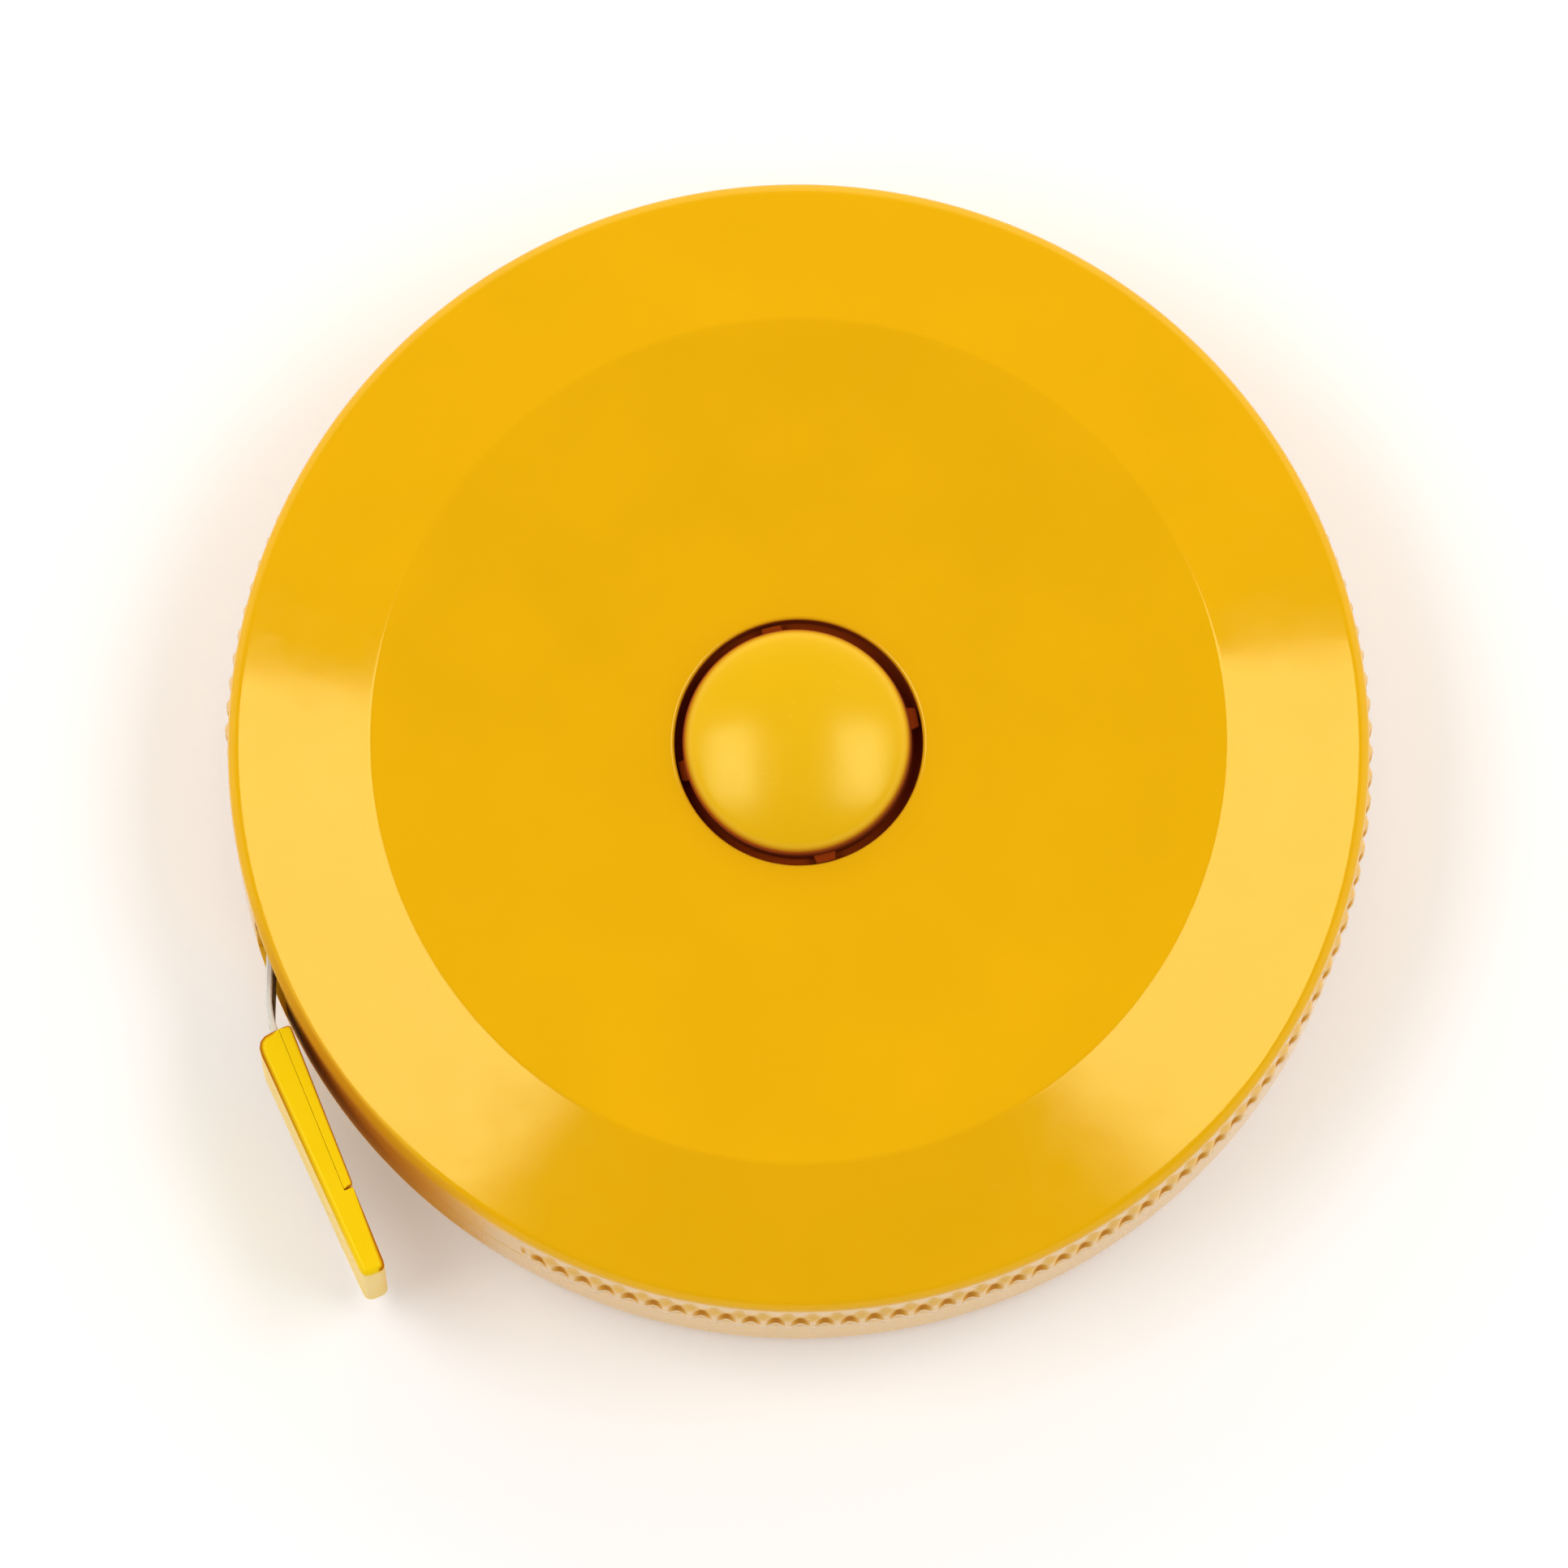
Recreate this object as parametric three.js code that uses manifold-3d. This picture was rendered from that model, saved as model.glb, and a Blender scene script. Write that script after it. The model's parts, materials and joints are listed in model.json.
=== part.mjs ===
// A round pocket tape measure with a push-button brake, in millimetres, +Z up.
// The origin is the centre of the flat back face, on the axis of the reel and the button.
// The tape leaves the rim on the -X side and runs towards -Y, where its pull tab lies on the rim.

import * as THREE from "three";
import { mergeVertices } from "three/addons/utils/BufferGeometryUtils.js";
import Module from "manifold-3d";

const wasm = await Module();
wasm.setup();

// Tape: one coated strip, rolled on the reel
const tapeWidth = 7;
const tapeThickness = 0.28;
const tapeTurns = 14;
const tapePitch = 0.69;
const tapeSideGap = 0.25;
const tapeFirstGap = 0.3;
const anchorDepth = 0.55;
const anchorSpan = THREE.MathUtils.degToRad(14);
const anchorLag = THREE.MathUtils.degToRad(10);

// Mainspring: a flat steel spiral between the post and the barrel
const springThickness = 0.2;
const springTurns = 8;
const springPitch = 0.66;
const springFirstGap = 0.35;
const springOuterGap = 0.3;
const springSideGap = 0.2;
const hookLength = 0.6;
const hookSlit = 0.8;

// Push button, its stem and its return spring
const buttonRadius = 4.9;
const buttonGap = 0.45;
const buttonTravel = 1;
const edgeProud = 0.4;
const domeRise = 0.95;
const buttonFlangeReach = 0.85;
const buttonFlangeThickness = 0.8;
const buttonSeatGap = 0.15;
const ribCount = 4;
const ribWidth = 0.9;
const ribAngle = THREE.MathUtils.degToRad(13);
const ribGap = 0.1;
const ribDrop = 0.6;
const lugReach = 0.6;
const lugGap = 0.2;
const bossStep = 1.2;
const stemRadius = 2.2;
const stemTipGap = 0.2;
const guideGap = 0.15;
const guideEngagement = 0.6;
const coilWire = 0.4;
const coilGap = 0.3;
const coilTurns = 5;

// Brake: a rubber pad in a disc on the stem, pressed up against a ring in the reel
const ringGap = 0.3;
const ringThickness = 0.7;
const brakeGap = 0.1;
const padInset = 0.35;
const padWidth = 1.1;
const padThickness = 0.55;
const padProud = 0.3;
const padSeatGap = 0.05;
const discRim = 0.2;
const discThickness = 0.8;
const discGap = 0.4;

// Reel and slip washer
const postWall = 1;
const runningGap = 0.1;
const washerThickness = 0.5;
const washerReach = 3;
const washerGap = 0.2;
const stackGap = 0.1;
const webThickness = 0.6;
const reelFlangeReach = 1.8;
const seatStep = 0.4;
const seatGap = 0.05;
const fitGap = 0.1;
const coverThickness = 0.5;
const travelGap = 0.25;
const barrelWall = 0.8;
const barrelProud = 0.05;

// Case: two shells that meet at a tongue round the middle of the rim
const shellWall = 1.2;
const wallGap = 0.75;
const leadGap = 0.2;
const bevelWidth = 6.2;
const dishDepth = 0.7;
const lipRound = 0.3;
const lipBand = 1.7;
const lipBridge = 0.9;
const partingGap = 0.1;
const tongueWall = 0.5;
const tongueDepth = 1.5;
const tongueClearance = 0.1;
const collarPlay = 0.3;
const collarWall = 0.7;
const collarGap = 0.3;
const stopInset = 1.4;
const stopWidth = 1;
const floatGap = 0.2;
const knurlCount = 146;
const knurlHeight = 0.2;
const bandStep = 0.1;
const bandRoot = 0.3;
const smoothCentre = THREE.MathUtils.degToRad(211);
const smoothSpan = THREE.MathUtils.degToRad(60);

// Tape slot and pull tab
const slotSideGap = 0.35;
const slotHalfWidth = 0.7;
const tabAngle = THREE.MathUtils.degToRad(-67.8);
const tabStart = 2.9;
const tabLength = 11.4;
const tabMargin = 0.6;
const tabClearance = 0.1;
const tabHeadWall = 0.8;
const tabTaper = 0.45;
const tabTipThickness = 1.1;
const tabTipRound = 0.6;
const tabHeadRound = 0.5;
const tabEdge = 0.3;
const clampLength = 7.5;
const clampThickness = 0.5;
const clampRelief = 0.1;
const bondGap = 0.05;
const bendLength = 0.9;
const tapeGrip = 6.3;

// Facets of the round pieces
const shellSides = 48;
const reelSides = 36;
const buttonSides = 24;
const hexSides = 6;
const tapeSteps = 20;
const springSteps = 16;
const coilSteps = 8;
const wireSides = 5;
const bendSteps = 4;
const domeSteps = 4;
const dishSteps = 3;
const cornerSteps = 4;

// Radii, from the stem outwards
const pocketRadius = stemRadius + 2 * coilGap + coilWire;
const postRadius = pocketRadius + postWall;
const bearingRadius = postRadius + runningGap;
const springStart = postRadius + springFirstGap + springThickness / 2;
const springEnd = springStart + springTurns * springPitch;
const springHookAngle = -2 * Math.PI * springTurns;
const holeRadius = buttonRadius + buttonGap;
const buttonFlangeRadius = holeRadius + buttonFlangeReach;
const lugRadius = buttonFlangeRadius + lugReach;
const collarBore = buttonFlangeRadius + collarPlay;
const grooveRadius = lugRadius + lugGap;
const collarRadius = grooveRadius + collarWall;
const ringBore = collarRadius + ringGap;
const padInner = ringBore + padInset;
const padOuter = padInner + padWidth;
const discRadius = padOuter + padSeatGap + discRim;
const chamberRadius = Math.max(springEnd + springThickness / 2 + springOuterGap, discRadius + discGap);
const coverBore = chamberRadius + seatStep;
const ringSeatBore = coverBore + seatStep;
const barrelRadius = ringSeatBore + barrelWall;
const tapeStart = barrelRadius + tapeFirstGap + tapeThickness / 2;
const tapeEnd = tapeStart + tapeTurns * tapePitch;
const leadRadius = tapeEnd + tapeThickness + leadGap;
const caseBore = leadRadius + tapeThickness / 2 + wallGap;
const caseRadius = caseBore + shellWall;
const creaseRadius = caseRadius - bevelWidth;
const reelFlangeRadius = creaseRadius + reelFlangeReach;
const bandRadius = caseRadius + bandStep;

// Heights, from the back face up to the tape, then from the tape's top edge back down
const washerBottom = shellWall + stackGap;
const washerTop = washerBottom + washerThickness;
const webBottom = washerTop + stackGap;
const webTop = webBottom + webThickness;
const tapeBottom = webTop + tapeSideGap;
const tapeTop = tapeBottom + tapeWidth;
const partingHeight = (tapeBottom + tapeTop) / 2;
const slotTop = tapeTop + slotSideGap;
const slotBottom = tapeBottom - slotSideGap;
const frontLip = slotTop + lipBridge;
const backLip = 2 * partingHeight - frontLip;
const frontCrease = 2 * partingHeight;
const holeEdge = frontCrease - dishDepth;
const barrelTop = tapeTop + barrelProud;
const ringBottom = barrelTop - ringThickness;
const padTop = ringBottom - brakeGap;
const padBottom = padTop - padThickness;
const discTop = padTop - padProud;
const discBottom = discTop - discThickness;
const coverTop = discBottom - buttonTravel - travelGap;
const coverBottom = coverTop - coverThickness;
const coverSeat = coverBottom - seatGap;
const ringSeat = ringBottom - seatGap;
const springBottom = webTop + springSideGap;
const springTop = coverSeat - springSideGap;
const stemTip = shellWall + buttonTravel + stemTipGap;
const pocketFloor = stemTip + guideEngagement;
const partingTop = partingHeight + partingGap / 2;
const partingBottom = partingHeight - partingGap / 2;
const tongueBottom = partingTop - tongueDepth;
const collarBottom = discTop + collarGap;
const stopBottom = barrelTop + floatGap;
const buttonFlangeTop = holeEdge - shellWall - buttonSeatGap;
const buttonFlangeBottom = buttonFlangeTop - buttonFlangeThickness;

// The tape's way out: a tangent from the roll to a bend just outside the rim, then along the tab
const clampFace = bandRadius + tabClearance;
const tapeStandoff = clampFace + clampThickness + bondGap + tapeThickness / 2;
const bendCorner = tabPoint(tabStart - bendLength, tapeStandoff);
const bendCornerAngle = Math.atan2(bendCorner.y, bendCorner.x);
const leadAngle = bendCornerAngle - Math.acos(leadRadius / bendCorner.length());
const leadDirection = new THREE.Vector2(-Math.sin(leadAngle), Math.cos(leadAngle));

// A closed geometry as a solid, with shared corners merged and flat triangles on the axis left out.
function solidFrom(geometry) {
  const bare = geometry.clone();
  bare.deleteAttribute("normal");
  bare.deleteAttribute("uv");
  const merged = mergeVertices(bare, 1e-4);
  const corners = merged.index.array;
  const triVerts = [];
  for (let i = 0; i < corners.length; i += 3) {
    const [a, b, c] = corners.subarray(i, i + 3);
    if (a !== b && b !== c && c !== a) triVerts.push(a, b, c);
  }
  const vertProperties = merged.attributes.position.array;
  const mesh = new wasm.Mesh({ numProp: 3, vertProperties, triVerts: new Uint32Array(triVerts) });
  return new wasm.Manifold(mesh);
}

// A solid as a three.js geometry.
function geometryFrom(solid) {
  const mesh = solid.getMesh();
  const geometry = new THREE.BufferGeometry();
  geometry.setAttribute("position", new THREE.BufferAttribute(mesh.vertProperties, 3));
  geometry.setIndex(new THREE.BufferAttribute(mesh.triVerts, 1));
  geometry.computeVertexNormals();
  return geometry;
}

// A solid turned about Z from a closed profile of [radius, height] pairs, listed anticlockwise.
function turned(profile, sides) {
  const points = profile.map(([radius, height]) => new THREE.Vector2(radius, height));
  const onAxis = profile[0][0] === 0;
  if (!onAxis) points.push(points[0].clone());
  return solidFrom(new THREE.LatheGeometry(points, sides).rotateX(Math.PI / 2));
}

// A plain ring or disc with a round hole.
function ring(inner, outer, bottom, top, sides) {
  return turned([[inner, bottom], [outer, bottom], [outer, top], [inner, top]], sides);
}

// A hexagonal bar on the axis.
function hexBar(radius, bottom, top) {
  return turned([[0, bottom], [radius, bottom], [radius, top], [0, top]], hexSides);
}

// A flat outline carried up from one height to another.
function prism(shape, bottom, top) {
  const depth = top - bottom;
  return new THREE.ExtrudeGeometry(shape, { depth, bevelEnabled: false }).translate(0, 0, bottom);
}

// A block that lies along a radius at the given angle, between two radii and two heights.
function radialBlock(angle, inner, outer, width, bottom, top) {
  const block = new THREE.BoxGeometry(outer - inner, width, top - bottom);
  block.translate((inner + outer) / 2, 0, (bottom + top) / 2);
  return solidFrom(block.rotateZ(angle));
}

// Sections with equal numbers of corners, joined one after another and closed at both ends.
function lofted(sections) {
  const count = sections[0].length;
  const positions = sections.flat().flatMap((point) => point.toArray());
  const index = [];
  for (let s = 0; s + 1 < sections.length; s += 1) {
    for (let k = 0; k < count; k += 1) {
      const a = s * count + k;
      const b = s * count + ((k + 1) % count);
      index.push(a, b, b + count, a, b + count, a + count);
    }
  }
  const last = (sections.length - 1) * count;
  for (let k = 1; k + 1 < count; k += 1) {
    index.push(0, k + 1, k, last, last + k, last + k + 1);
  }
  const geometry = new THREE.BufferGeometry();
  geometry.setAttribute("position", new THREE.Float32BufferAttribute(positions, 3));
  geometry.setIndex(index);
  geometry.computeVertexNormals();
  return geometry;
}

// A strip that stands on edge along a flat path, as wide as the two heights are apart.
function strip(path, thickness, bottom, top) {
  const sections = path.map((point, i) => {
    const before = path[Math.max(i - 1, 0)];
    const after = path[Math.min(i + 1, path.length - 1)];
    const along = after.clone().sub(before).normalize();
    const aside = new THREE.Vector2(along.y, -along.x).multiplyScalar(thickness / 2);
    const outer = point.clone().add(aside);
    const inner = point.clone().sub(aside);
    return [
      new THREE.Vector3(inner.x, inner.y, bottom),
      new THREE.Vector3(inner.x, inner.y, top),
      new THREE.Vector3(outer.x, outer.y, top),
      new THREE.Vector3(outer.x, outer.y, bottom),
    ];
  });
  return lofted(sections);
}

// A point on a circle.
function polar(radius, angle) {
  return new THREE.Vector2(radius * Math.cos(angle), radius * Math.sin(angle));
}

// A point of the tab's frame: how far along the tab, and how far out from the axis of the case.
function tabPoint(along, out) {
  return new THREE.Vector2(along, -out).rotateAround(new THREE.Vector2(), tabAngle);
}

// A spiral that grows anticlockwise by one pitch a turn and ends at the given angle.
function spiral(startRadius, pitch, turns, stepsPerTurn, endAngle) {
  const steps = Math.round(turns * stepsPerTurn);
  return Array.from({ length: steps + 1 }, (_, i) => {
    const turn = (turns * i) / steps;
    return polar(startRadius + pitch * turn, endAngle - 2 * Math.PI * (turns - turn));
  });
}

// Prints the least clear gap between the turns of a winding, measured between its points.
function printSelfGap(name, path, thickness, stepsPerTurn) {
  let least = Infinity;
  for (let i = 0; i < path.length; i += 1) {
    for (let j = i + Math.ceil(stepsPerTurn / 2); j < path.length; j += 1) {
      least = Math.min(least, path[i].distanceTo(path[j]) - thickness);
    }
  }
  console.log(name + " least gap to itself " + least.toFixed(3) + " mm");
}

// The front face's height: a shallow round dish from the hole to the crease, then the bevel to the lip.
function frontFace(radius) {
  if (radius < creaseRadius) {
    return THREE.MathUtils.mapLinear(radius ** 2, holeRadius ** 2, creaseRadius ** 2, holeEdge, frontCrease);
  }
  return THREE.MathUtils.mapLinear(radius, creaseRadius, caseRadius, frontCrease, frontLip);
}

// The back face's height on its bevel.
function backBevel(radius) {
  return THREE.MathUtils.mapLinear(radius, creaseRadius, caseRadius, 0, backLip);
}

// The underside of the front shell.
function ceiling(radius) {
  return frontFace(radius) - shellWall;
}

// The front shell's grip band: ridges all round, apart from the smooth stretch at the tape slot.
function knurledBand(bottom, top) {
  const pitch = (2 * Math.PI) / knurlCount;
  const outline = [];
  for (let k = 0; k < knurlCount; k += 1) {
    const angle = smoothCentre + k * pitch;
    const fromSmooth = Math.min(k + 0.5, knurlCount - k - 0.5) * pitch;
    outline.push(polar(bandRadius, angle));
    if (fromSmooth > smoothSpan / 2) outline.push(polar(bandRadius + knurlHeight, angle + pitch / 2));
  }
  const shape = new THREE.Shape(outline);
  shape.holes.push(new THREE.Path().absarc(0, 0, caseRadius - bandRoot, 0, 2 * Math.PI, true));
  const geometry = new THREE.ExtrudeGeometry(shape, {
    depth: top - bottom,
    bevelEnabled: false,
    curveSegments: shellSides,
  });
  return solidFrom(geometry.translate(0, 0, bottom));
}

// The slot that the tape leaves by, cut through the rim of both shells along the tape.
function tapeSlot() {
  const start = Math.sqrt(caseBore ** 2 - (leadRadius + slotHalfWidth) ** 2) - slotHalfWidth;
  const end = Math.sqrt((bandRadius + knurlHeight) ** 2 - (leadRadius - slotHalfWidth) ** 2) + slotHalfWidth;
  const block = new THREE.BoxGeometry(2 * slotHalfWidth, end - start, slotTop - slotBottom);
  block.translate(leadRadius, (start + end) / 2, (slotTop + slotBottom) / 2);
  return solidFrom(block.rotateZ(leadAngle));
}

function makeFrontShell() {
  const dish = Array.from({ length: dishSteps + 1 }, (_, i) => {
    const radius = THREE.MathUtils.lerp(creaseRadius, holeRadius, i / dishSteps);
    return [radius, frontFace(radius)];
  });
  const profile = [
    [holeRadius, ceiling(holeRadius)],
    [collarBore, ceiling(collarBore)],
    [collarBore, collarBottom],
    [collarRadius, collarBottom],
    [collarRadius, ceiling(collarRadius)],
    [ringBore + stopInset, ceiling(ringBore + stopInset)],
    [ringBore + stopInset, stopBottom],
    [ringBore + stopInset + stopWidth, stopBottom],
    [ringBore + stopInset + stopWidth, ceiling(ringBore + stopInset + stopWidth)],
    [creaseRadius, ceiling(creaseRadius)],
    [caseBore, ceiling(caseBore)],
    [caseBore, tongueBottom],
    [caseBore + tongueWall, tongueBottom],
    [caseBore + tongueWall, partingTop],
    [caseRadius, partingTop],
    [caseRadius, frontLip - lipRound],
    [caseRadius - lipRound, frontFace(caseRadius - lipRound)],
    ...dish,
  ];
  let shell = turned(profile, shellSides).add(knurledBand(partingTop, frontLip - lipBand));
  for (let k = 0; k < ribCount; k += 1) {
    const angle = ribAngle + (k * 2 * Math.PI) / ribCount;
    const width = ribWidth + 2 * lugGap;
    const groove = [holeRadius + buttonFlangeReach, grooveRadius, width, collarBottom - lugGap];
    shell = shell.subtract(radialBlock(angle, ...groove, ceiling(holeRadius)));
  }
  return geometryFrom(shell.subtract(tapeSlot()));
}

function makeBackShell() {
  const rabbet = caseBore + tongueWall + tongueClearance;
  const rabbetFloor = tongueBottom - tongueClearance;
  const guideRadius = stemRadius + guideGap;
  const profile = [
    [0, 0],
    [creaseRadius, 0],
    [caseRadius - lipRound, backBevel(caseRadius - lipRound)],
    [caseRadius, backLip + lipRound],
    [caseRadius, partingBottom],
    [rabbet, partingBottom],
    [rabbet, rabbetFloor],
    [caseBore, rabbetFloor],
    [caseBore, backBevel(caseBore) + shellWall],
    [creaseRadius, shellWall],
    [postRadius, shellWall],
    [postRadius, coverTop],
    [pocketRadius, coverTop],
    [pocketRadius, pocketFloor],
    [guideRadius, pocketFloor],
    [guideRadius, shellWall],
    [0, shellWall],
  ];
  const body = turned(profile, shellSides);
  const slitInner = pocketRadius - fitGap;
  const slitOuter = postRadius + fitGap;
  const slit = radialBlock(springHookAngle, slitInner, slitOuter, hookSlit, webTop, coverTop + fitGap);
  return geometryFrom(body.subtract(slit).subtract(tapeSlot()));
}

function makePushButton() {
  const edge = holeEdge + edgeProud;
  const domeRadius = (buttonRadius ** 2 + domeRise ** 2) / (2 * domeRise);
  const domeSpan = Math.asin(buttonRadius / domeRadius);
  const dome = Array.from({ length: domeSteps + 1 }, (_, i) => {
    const angle = domeSpan * (1 - i / domeSteps);
    const height = edge + domeRise - domeRadius * (1 - Math.cos(angle));
    return [i === domeSteps ? 0 : domeRadius * Math.sin(angle), height];
  });
  const profile = [
    [0, discTop + seatGap],
    [stemRadius + bossStep, discTop + seatGap],
    [stemRadius + bossStep, buttonFlangeBottom],
    [buttonFlangeRadius, buttonFlangeBottom],
    [buttonFlangeRadius, buttonFlangeTop],
    [buttonRadius, buttonFlangeTop],
    ...dome,
  ];
  let button = turned(profile, buttonSides);
  const stemTop = discTop + buttonFlangeThickness;
  button = button.add(hexBar(stemRadius, stemTip, stemTop));
  for (let k = 0; k < ribCount; k += 1) {
    const angle = ribAngle + (k * 2 * Math.PI) / ribCount;
    const ribRoot = buttonRadius / 2;
    const ribReach = holeRadius - ribGap;
    const rib = radialBlock(angle, ribRoot, ribReach, ribWidth, buttonFlangeBottom, holeEdge - ribDrop);
    const lug = radialBlock(angle, ribRoot, lugRadius, ribWidth, buttonFlangeBottom, buttonFlangeTop);
    button = button.add(rib).add(lug);
  }
  return geometryFrom(button);
}

function makeBrakeDisc() {
  const profile = [
    [0, discBottom],
    [discRadius, discBottom],
    [discRadius, discTop],
    [padOuter + padSeatGap, discTop],
    [padOuter + padSeatGap, padBottom - padSeatGap],
    [padInner - padSeatGap, padBottom - padSeatGap],
    [padInner - padSeatGap, discTop],
    [0, discTop],
  ];
  const hexHole = hexBar(stemRadius + fitGap, discBottom - fitGap, discTop + fitGap);
  return geometryFrom(turned(profile, reelSides).subtract(hexHole));
}

function makeBrakePad() {
  return geometryFrom(ring(padInner, padOuter, padBottom, padTop, reelSides));
}

function makeButtonSpring() {
  const meanRadius = stemRadius + coilGap + coilWire / 2;
  const bottom = pocketFloor + seatGap + coilWire / 2;
  const top = discBottom - seatGap - coilWire / 2;
  const steps = coilTurns * coilSteps;
  const coilPoint = (i, out, up) => {
    const spot = polar(meanRadius + out, (2 * Math.PI * i) / coilSteps);
    return new THREE.Vector3(spot.x, spot.y, THREE.MathUtils.lerp(bottom, top, i / steps) + up);
  };
  const path = Array.from({ length: steps + 1 }, (_, i) => coilPoint(i, 0, 0));
  printSelfGap("button_spring", path, coilWire, coilSteps);
  const sections = path.map((_, i) =>
    Array.from({ length: wireSides }, (_, k) => {
      const round = (2 * Math.PI * k) / wireSides;
      return coilPoint(i, (coilWire / 2) * Math.cos(round), (-coilWire / 2) * Math.sin(round));
    }),
  );
  return lofted(sections);
}

function makeReelDrum() {
  const profile = [
    [bearingRadius, webBottom],
    [reelFlangeRadius, webBottom],
    [reelFlangeRadius, webTop],
    [barrelRadius, webTop],
    [barrelRadius, barrelTop],
    [ringSeatBore, barrelTop],
    [ringSeatBore, ringSeat],
    [coverBore, ringSeat],
    [coverBore, coverSeat],
    [chamberRadius, coverSeat],
    [chamberRadius, webTop],
    [bearingRadius, webTop],
  ];
  const recessAngle = leadAngle - 2 * Math.PI * tapeTurns - anchorLag;
  const recessWidth = barrelRadius * anchorSpan;
  const recessFloor = barrelRadius - anchorDepth;
  const recessSize = [recessFloor, tapeStart, recessWidth, tapeBottom - fitGap, barrelTop + fitGap];
  const recess = radialBlock(recessAngle, ...recessSize);
  const hookEnd = chamberRadius + hookLength;
  const slit = radialBlock(0, chamberRadius - seatStep, hookEnd, hookSlit, webTop, coverSeat);
  return geometryFrom(turned(profile, reelSides).subtract(recess).subtract(slit));
}

function makeSpringCover() {
  return geometryFrom(ring(bearingRadius, coverBore - fitGap, coverBottom, coverTop, reelSides));
}

function makeBrakeRing() {
  return geometryFrom(ring(ringBore, ringSeatBore - fitGap, ringBottom, barrelTop, reelSides));
}

// The spiral has a hook into the post's slit at its inner end and one into the barrel at its outer end.
function makeMainspring() {
  const turns = spiral(springStart, springPitch, springTurns, springSteps, 0);
  const inner = [polar(postRadius - hookLength, springHookAngle), polar(springStart, springHookAngle)];
  const outer = polar(chamberRadius + hookLength / 2, 0);
  printSelfGap("mainspring", turns, springThickness, springSteps);
  const path = [...inner, ...turns.slice(1), outer];
  return strip(path, springThickness, springBottom, springTop);
}

// The roll starts in the recess of the barrel, where the tape's inner end is bonded.
function makeTapeWinding() {
  const roll = spiral(tapeStart, tapePitch, tapeTurns, tapeSteps, leadAngle);
  printSelfGap("tape_winding", roll, tapeThickness, tapeSteps);
  const anchorAngle = leadAngle - 2 * Math.PI * tapeTurns - anchorSpan;
  const anchored = polar(barrelRadius - anchorDepth + tapeThickness, anchorAngle);
  return strip([anchored, ...roll], tapeThickness, tapeBottom, tapeTop);
}

// The tape's end, from the roll's tangent through the slot, round the bend and into the tab.
function makeTapeLead() {
  const tangent = polar(leadRadius, leadAngle);
  const tabDirection = tabPoint(1, 0);
  const turn = Math.acos(leadDirection.dot(tabDirection));
  const bendRadius = bendLength / Math.tan(turn / 2);
  const bendStart = bendCorner.clone().addScaledVector(leadDirection, -bendLength);
  const aside = new THREE.Vector2(-leadDirection.y, leadDirection.x);
  const centre = bendStart.clone().addScaledVector(aside, bendRadius);
  const bend = Array.from({ length: bendSteps + 1 }, (_, i) =>
    bendStart.clone().rotateAround(centre, (turn * i) / bendSteps),
  );
  const grip = tabPoint(tabStart + tapeGrip, tapeStandoff);
  return strip([tangent, ...bend, grip], tapeThickness, tapeBottom, tapeTop);
}

// An outline in the tab's frame, carried through the tab's width and rounded at its free corners.
function tabSolid(outline, start, end, startRound, endRound) {
  const points = outline.map(([along, out]) => tabPoint(along, out));
  const bottom = tapeBottom - tabMargin;
  const top = tapeTop + tabMargin;
  const slab = solidFrom(prism(new THREE.Shape(points), bottom, top));
  const face = new THREE.Shape();
  face.absarc(start + startRound, bottom + startRound, startRound, Math.PI, 1.5 * Math.PI);
  face.absarc(end - endRound, bottom + endRound, endRound, 1.5 * Math.PI, 2 * Math.PI);
  face.absarc(end - endRound, top - endRound, endRound, 0, 0.5 * Math.PI);
  face.absarc(start + startRound, top - startRound, startRound, 0.5 * Math.PI, Math.PI);
  const reach = tapeStandoff + tabHeadWall + tapeThickness + clampThickness;
  const depth = 2 * reach;
  const block = new THREE.ExtrudeGeometry(face, { depth, bevelEnabled: false, curveSegments: cornerSteps });
  block.rotateX(Math.PI / 2).rotateZ(tabAngle);
  return slab.intersect(solidFrom(block));
}

// The plate of the tab, with a shallow seat for the tape that the clamp closes.
function makeEndTab() {
  const inner = clampFace + clampThickness + bondGap;
  const seatFloor = tapeStandoff + tapeThickness / 2 + bondGap;
  const outer = seatFloor + tabHeadWall;
  const tipOuter = outer - tabTaper;
  const tipInner = tipOuter - tabTipThickness;
  const end = tabStart + tabLength;
  const step = tabStart + clampLength + bondGap;
  const outline = [
    [tabStart, inner],
    [step, inner],
    [step, tipInner],
    [end - tabEdge, tipInner],
    [end, tipInner + tabEdge],
    [end, tipOuter - tabEdge],
    [end - tabEdge, tipOuter],
    [tabStart + tabEdge, outer],
    [tabStart, outer - tabEdge],
  ];
  const seatEnd = tabStart + tapeGrip + fitGap;
  const seatCorners = [
    [tabStart - fitGap, inner - fitGap],
    [seatEnd, inner - fitGap],
    [seatEnd, seatFloor],
    [tabStart - fitGap, seatFloor],
  ];
  const seatShape = new THREE.Shape(seatCorners.map(([along, out]) => tabPoint(along, out)));
  const seat = solidFrom(prism(seatShape, tapeBottom - fitGap, tapeTop + fitGap));
  return geometryFrom(tabSolid(outline, tabStart, end, tabHeadRound, tabTipRound).subtract(seat));
}

function makeTabClamp() {
  const outer = clampFace + clampThickness;
  const end = tabStart + clampLength;
  const outline = [
    [tabStart, clampFace],
    [end, clampFace + clampRelief],
    [end, outer],
    [tabStart, outer],
  ];
  return geometryFrom(tabSolid(outline, tabStart, end, tabHeadRound, tabHeadRound));
}

function makeThrustWasher() {
  const inner = postRadius + washerGap;
  return geometryFrom(ring(inner, inner + washerReach, washerBottom, washerTop, reelSides));
}

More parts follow.
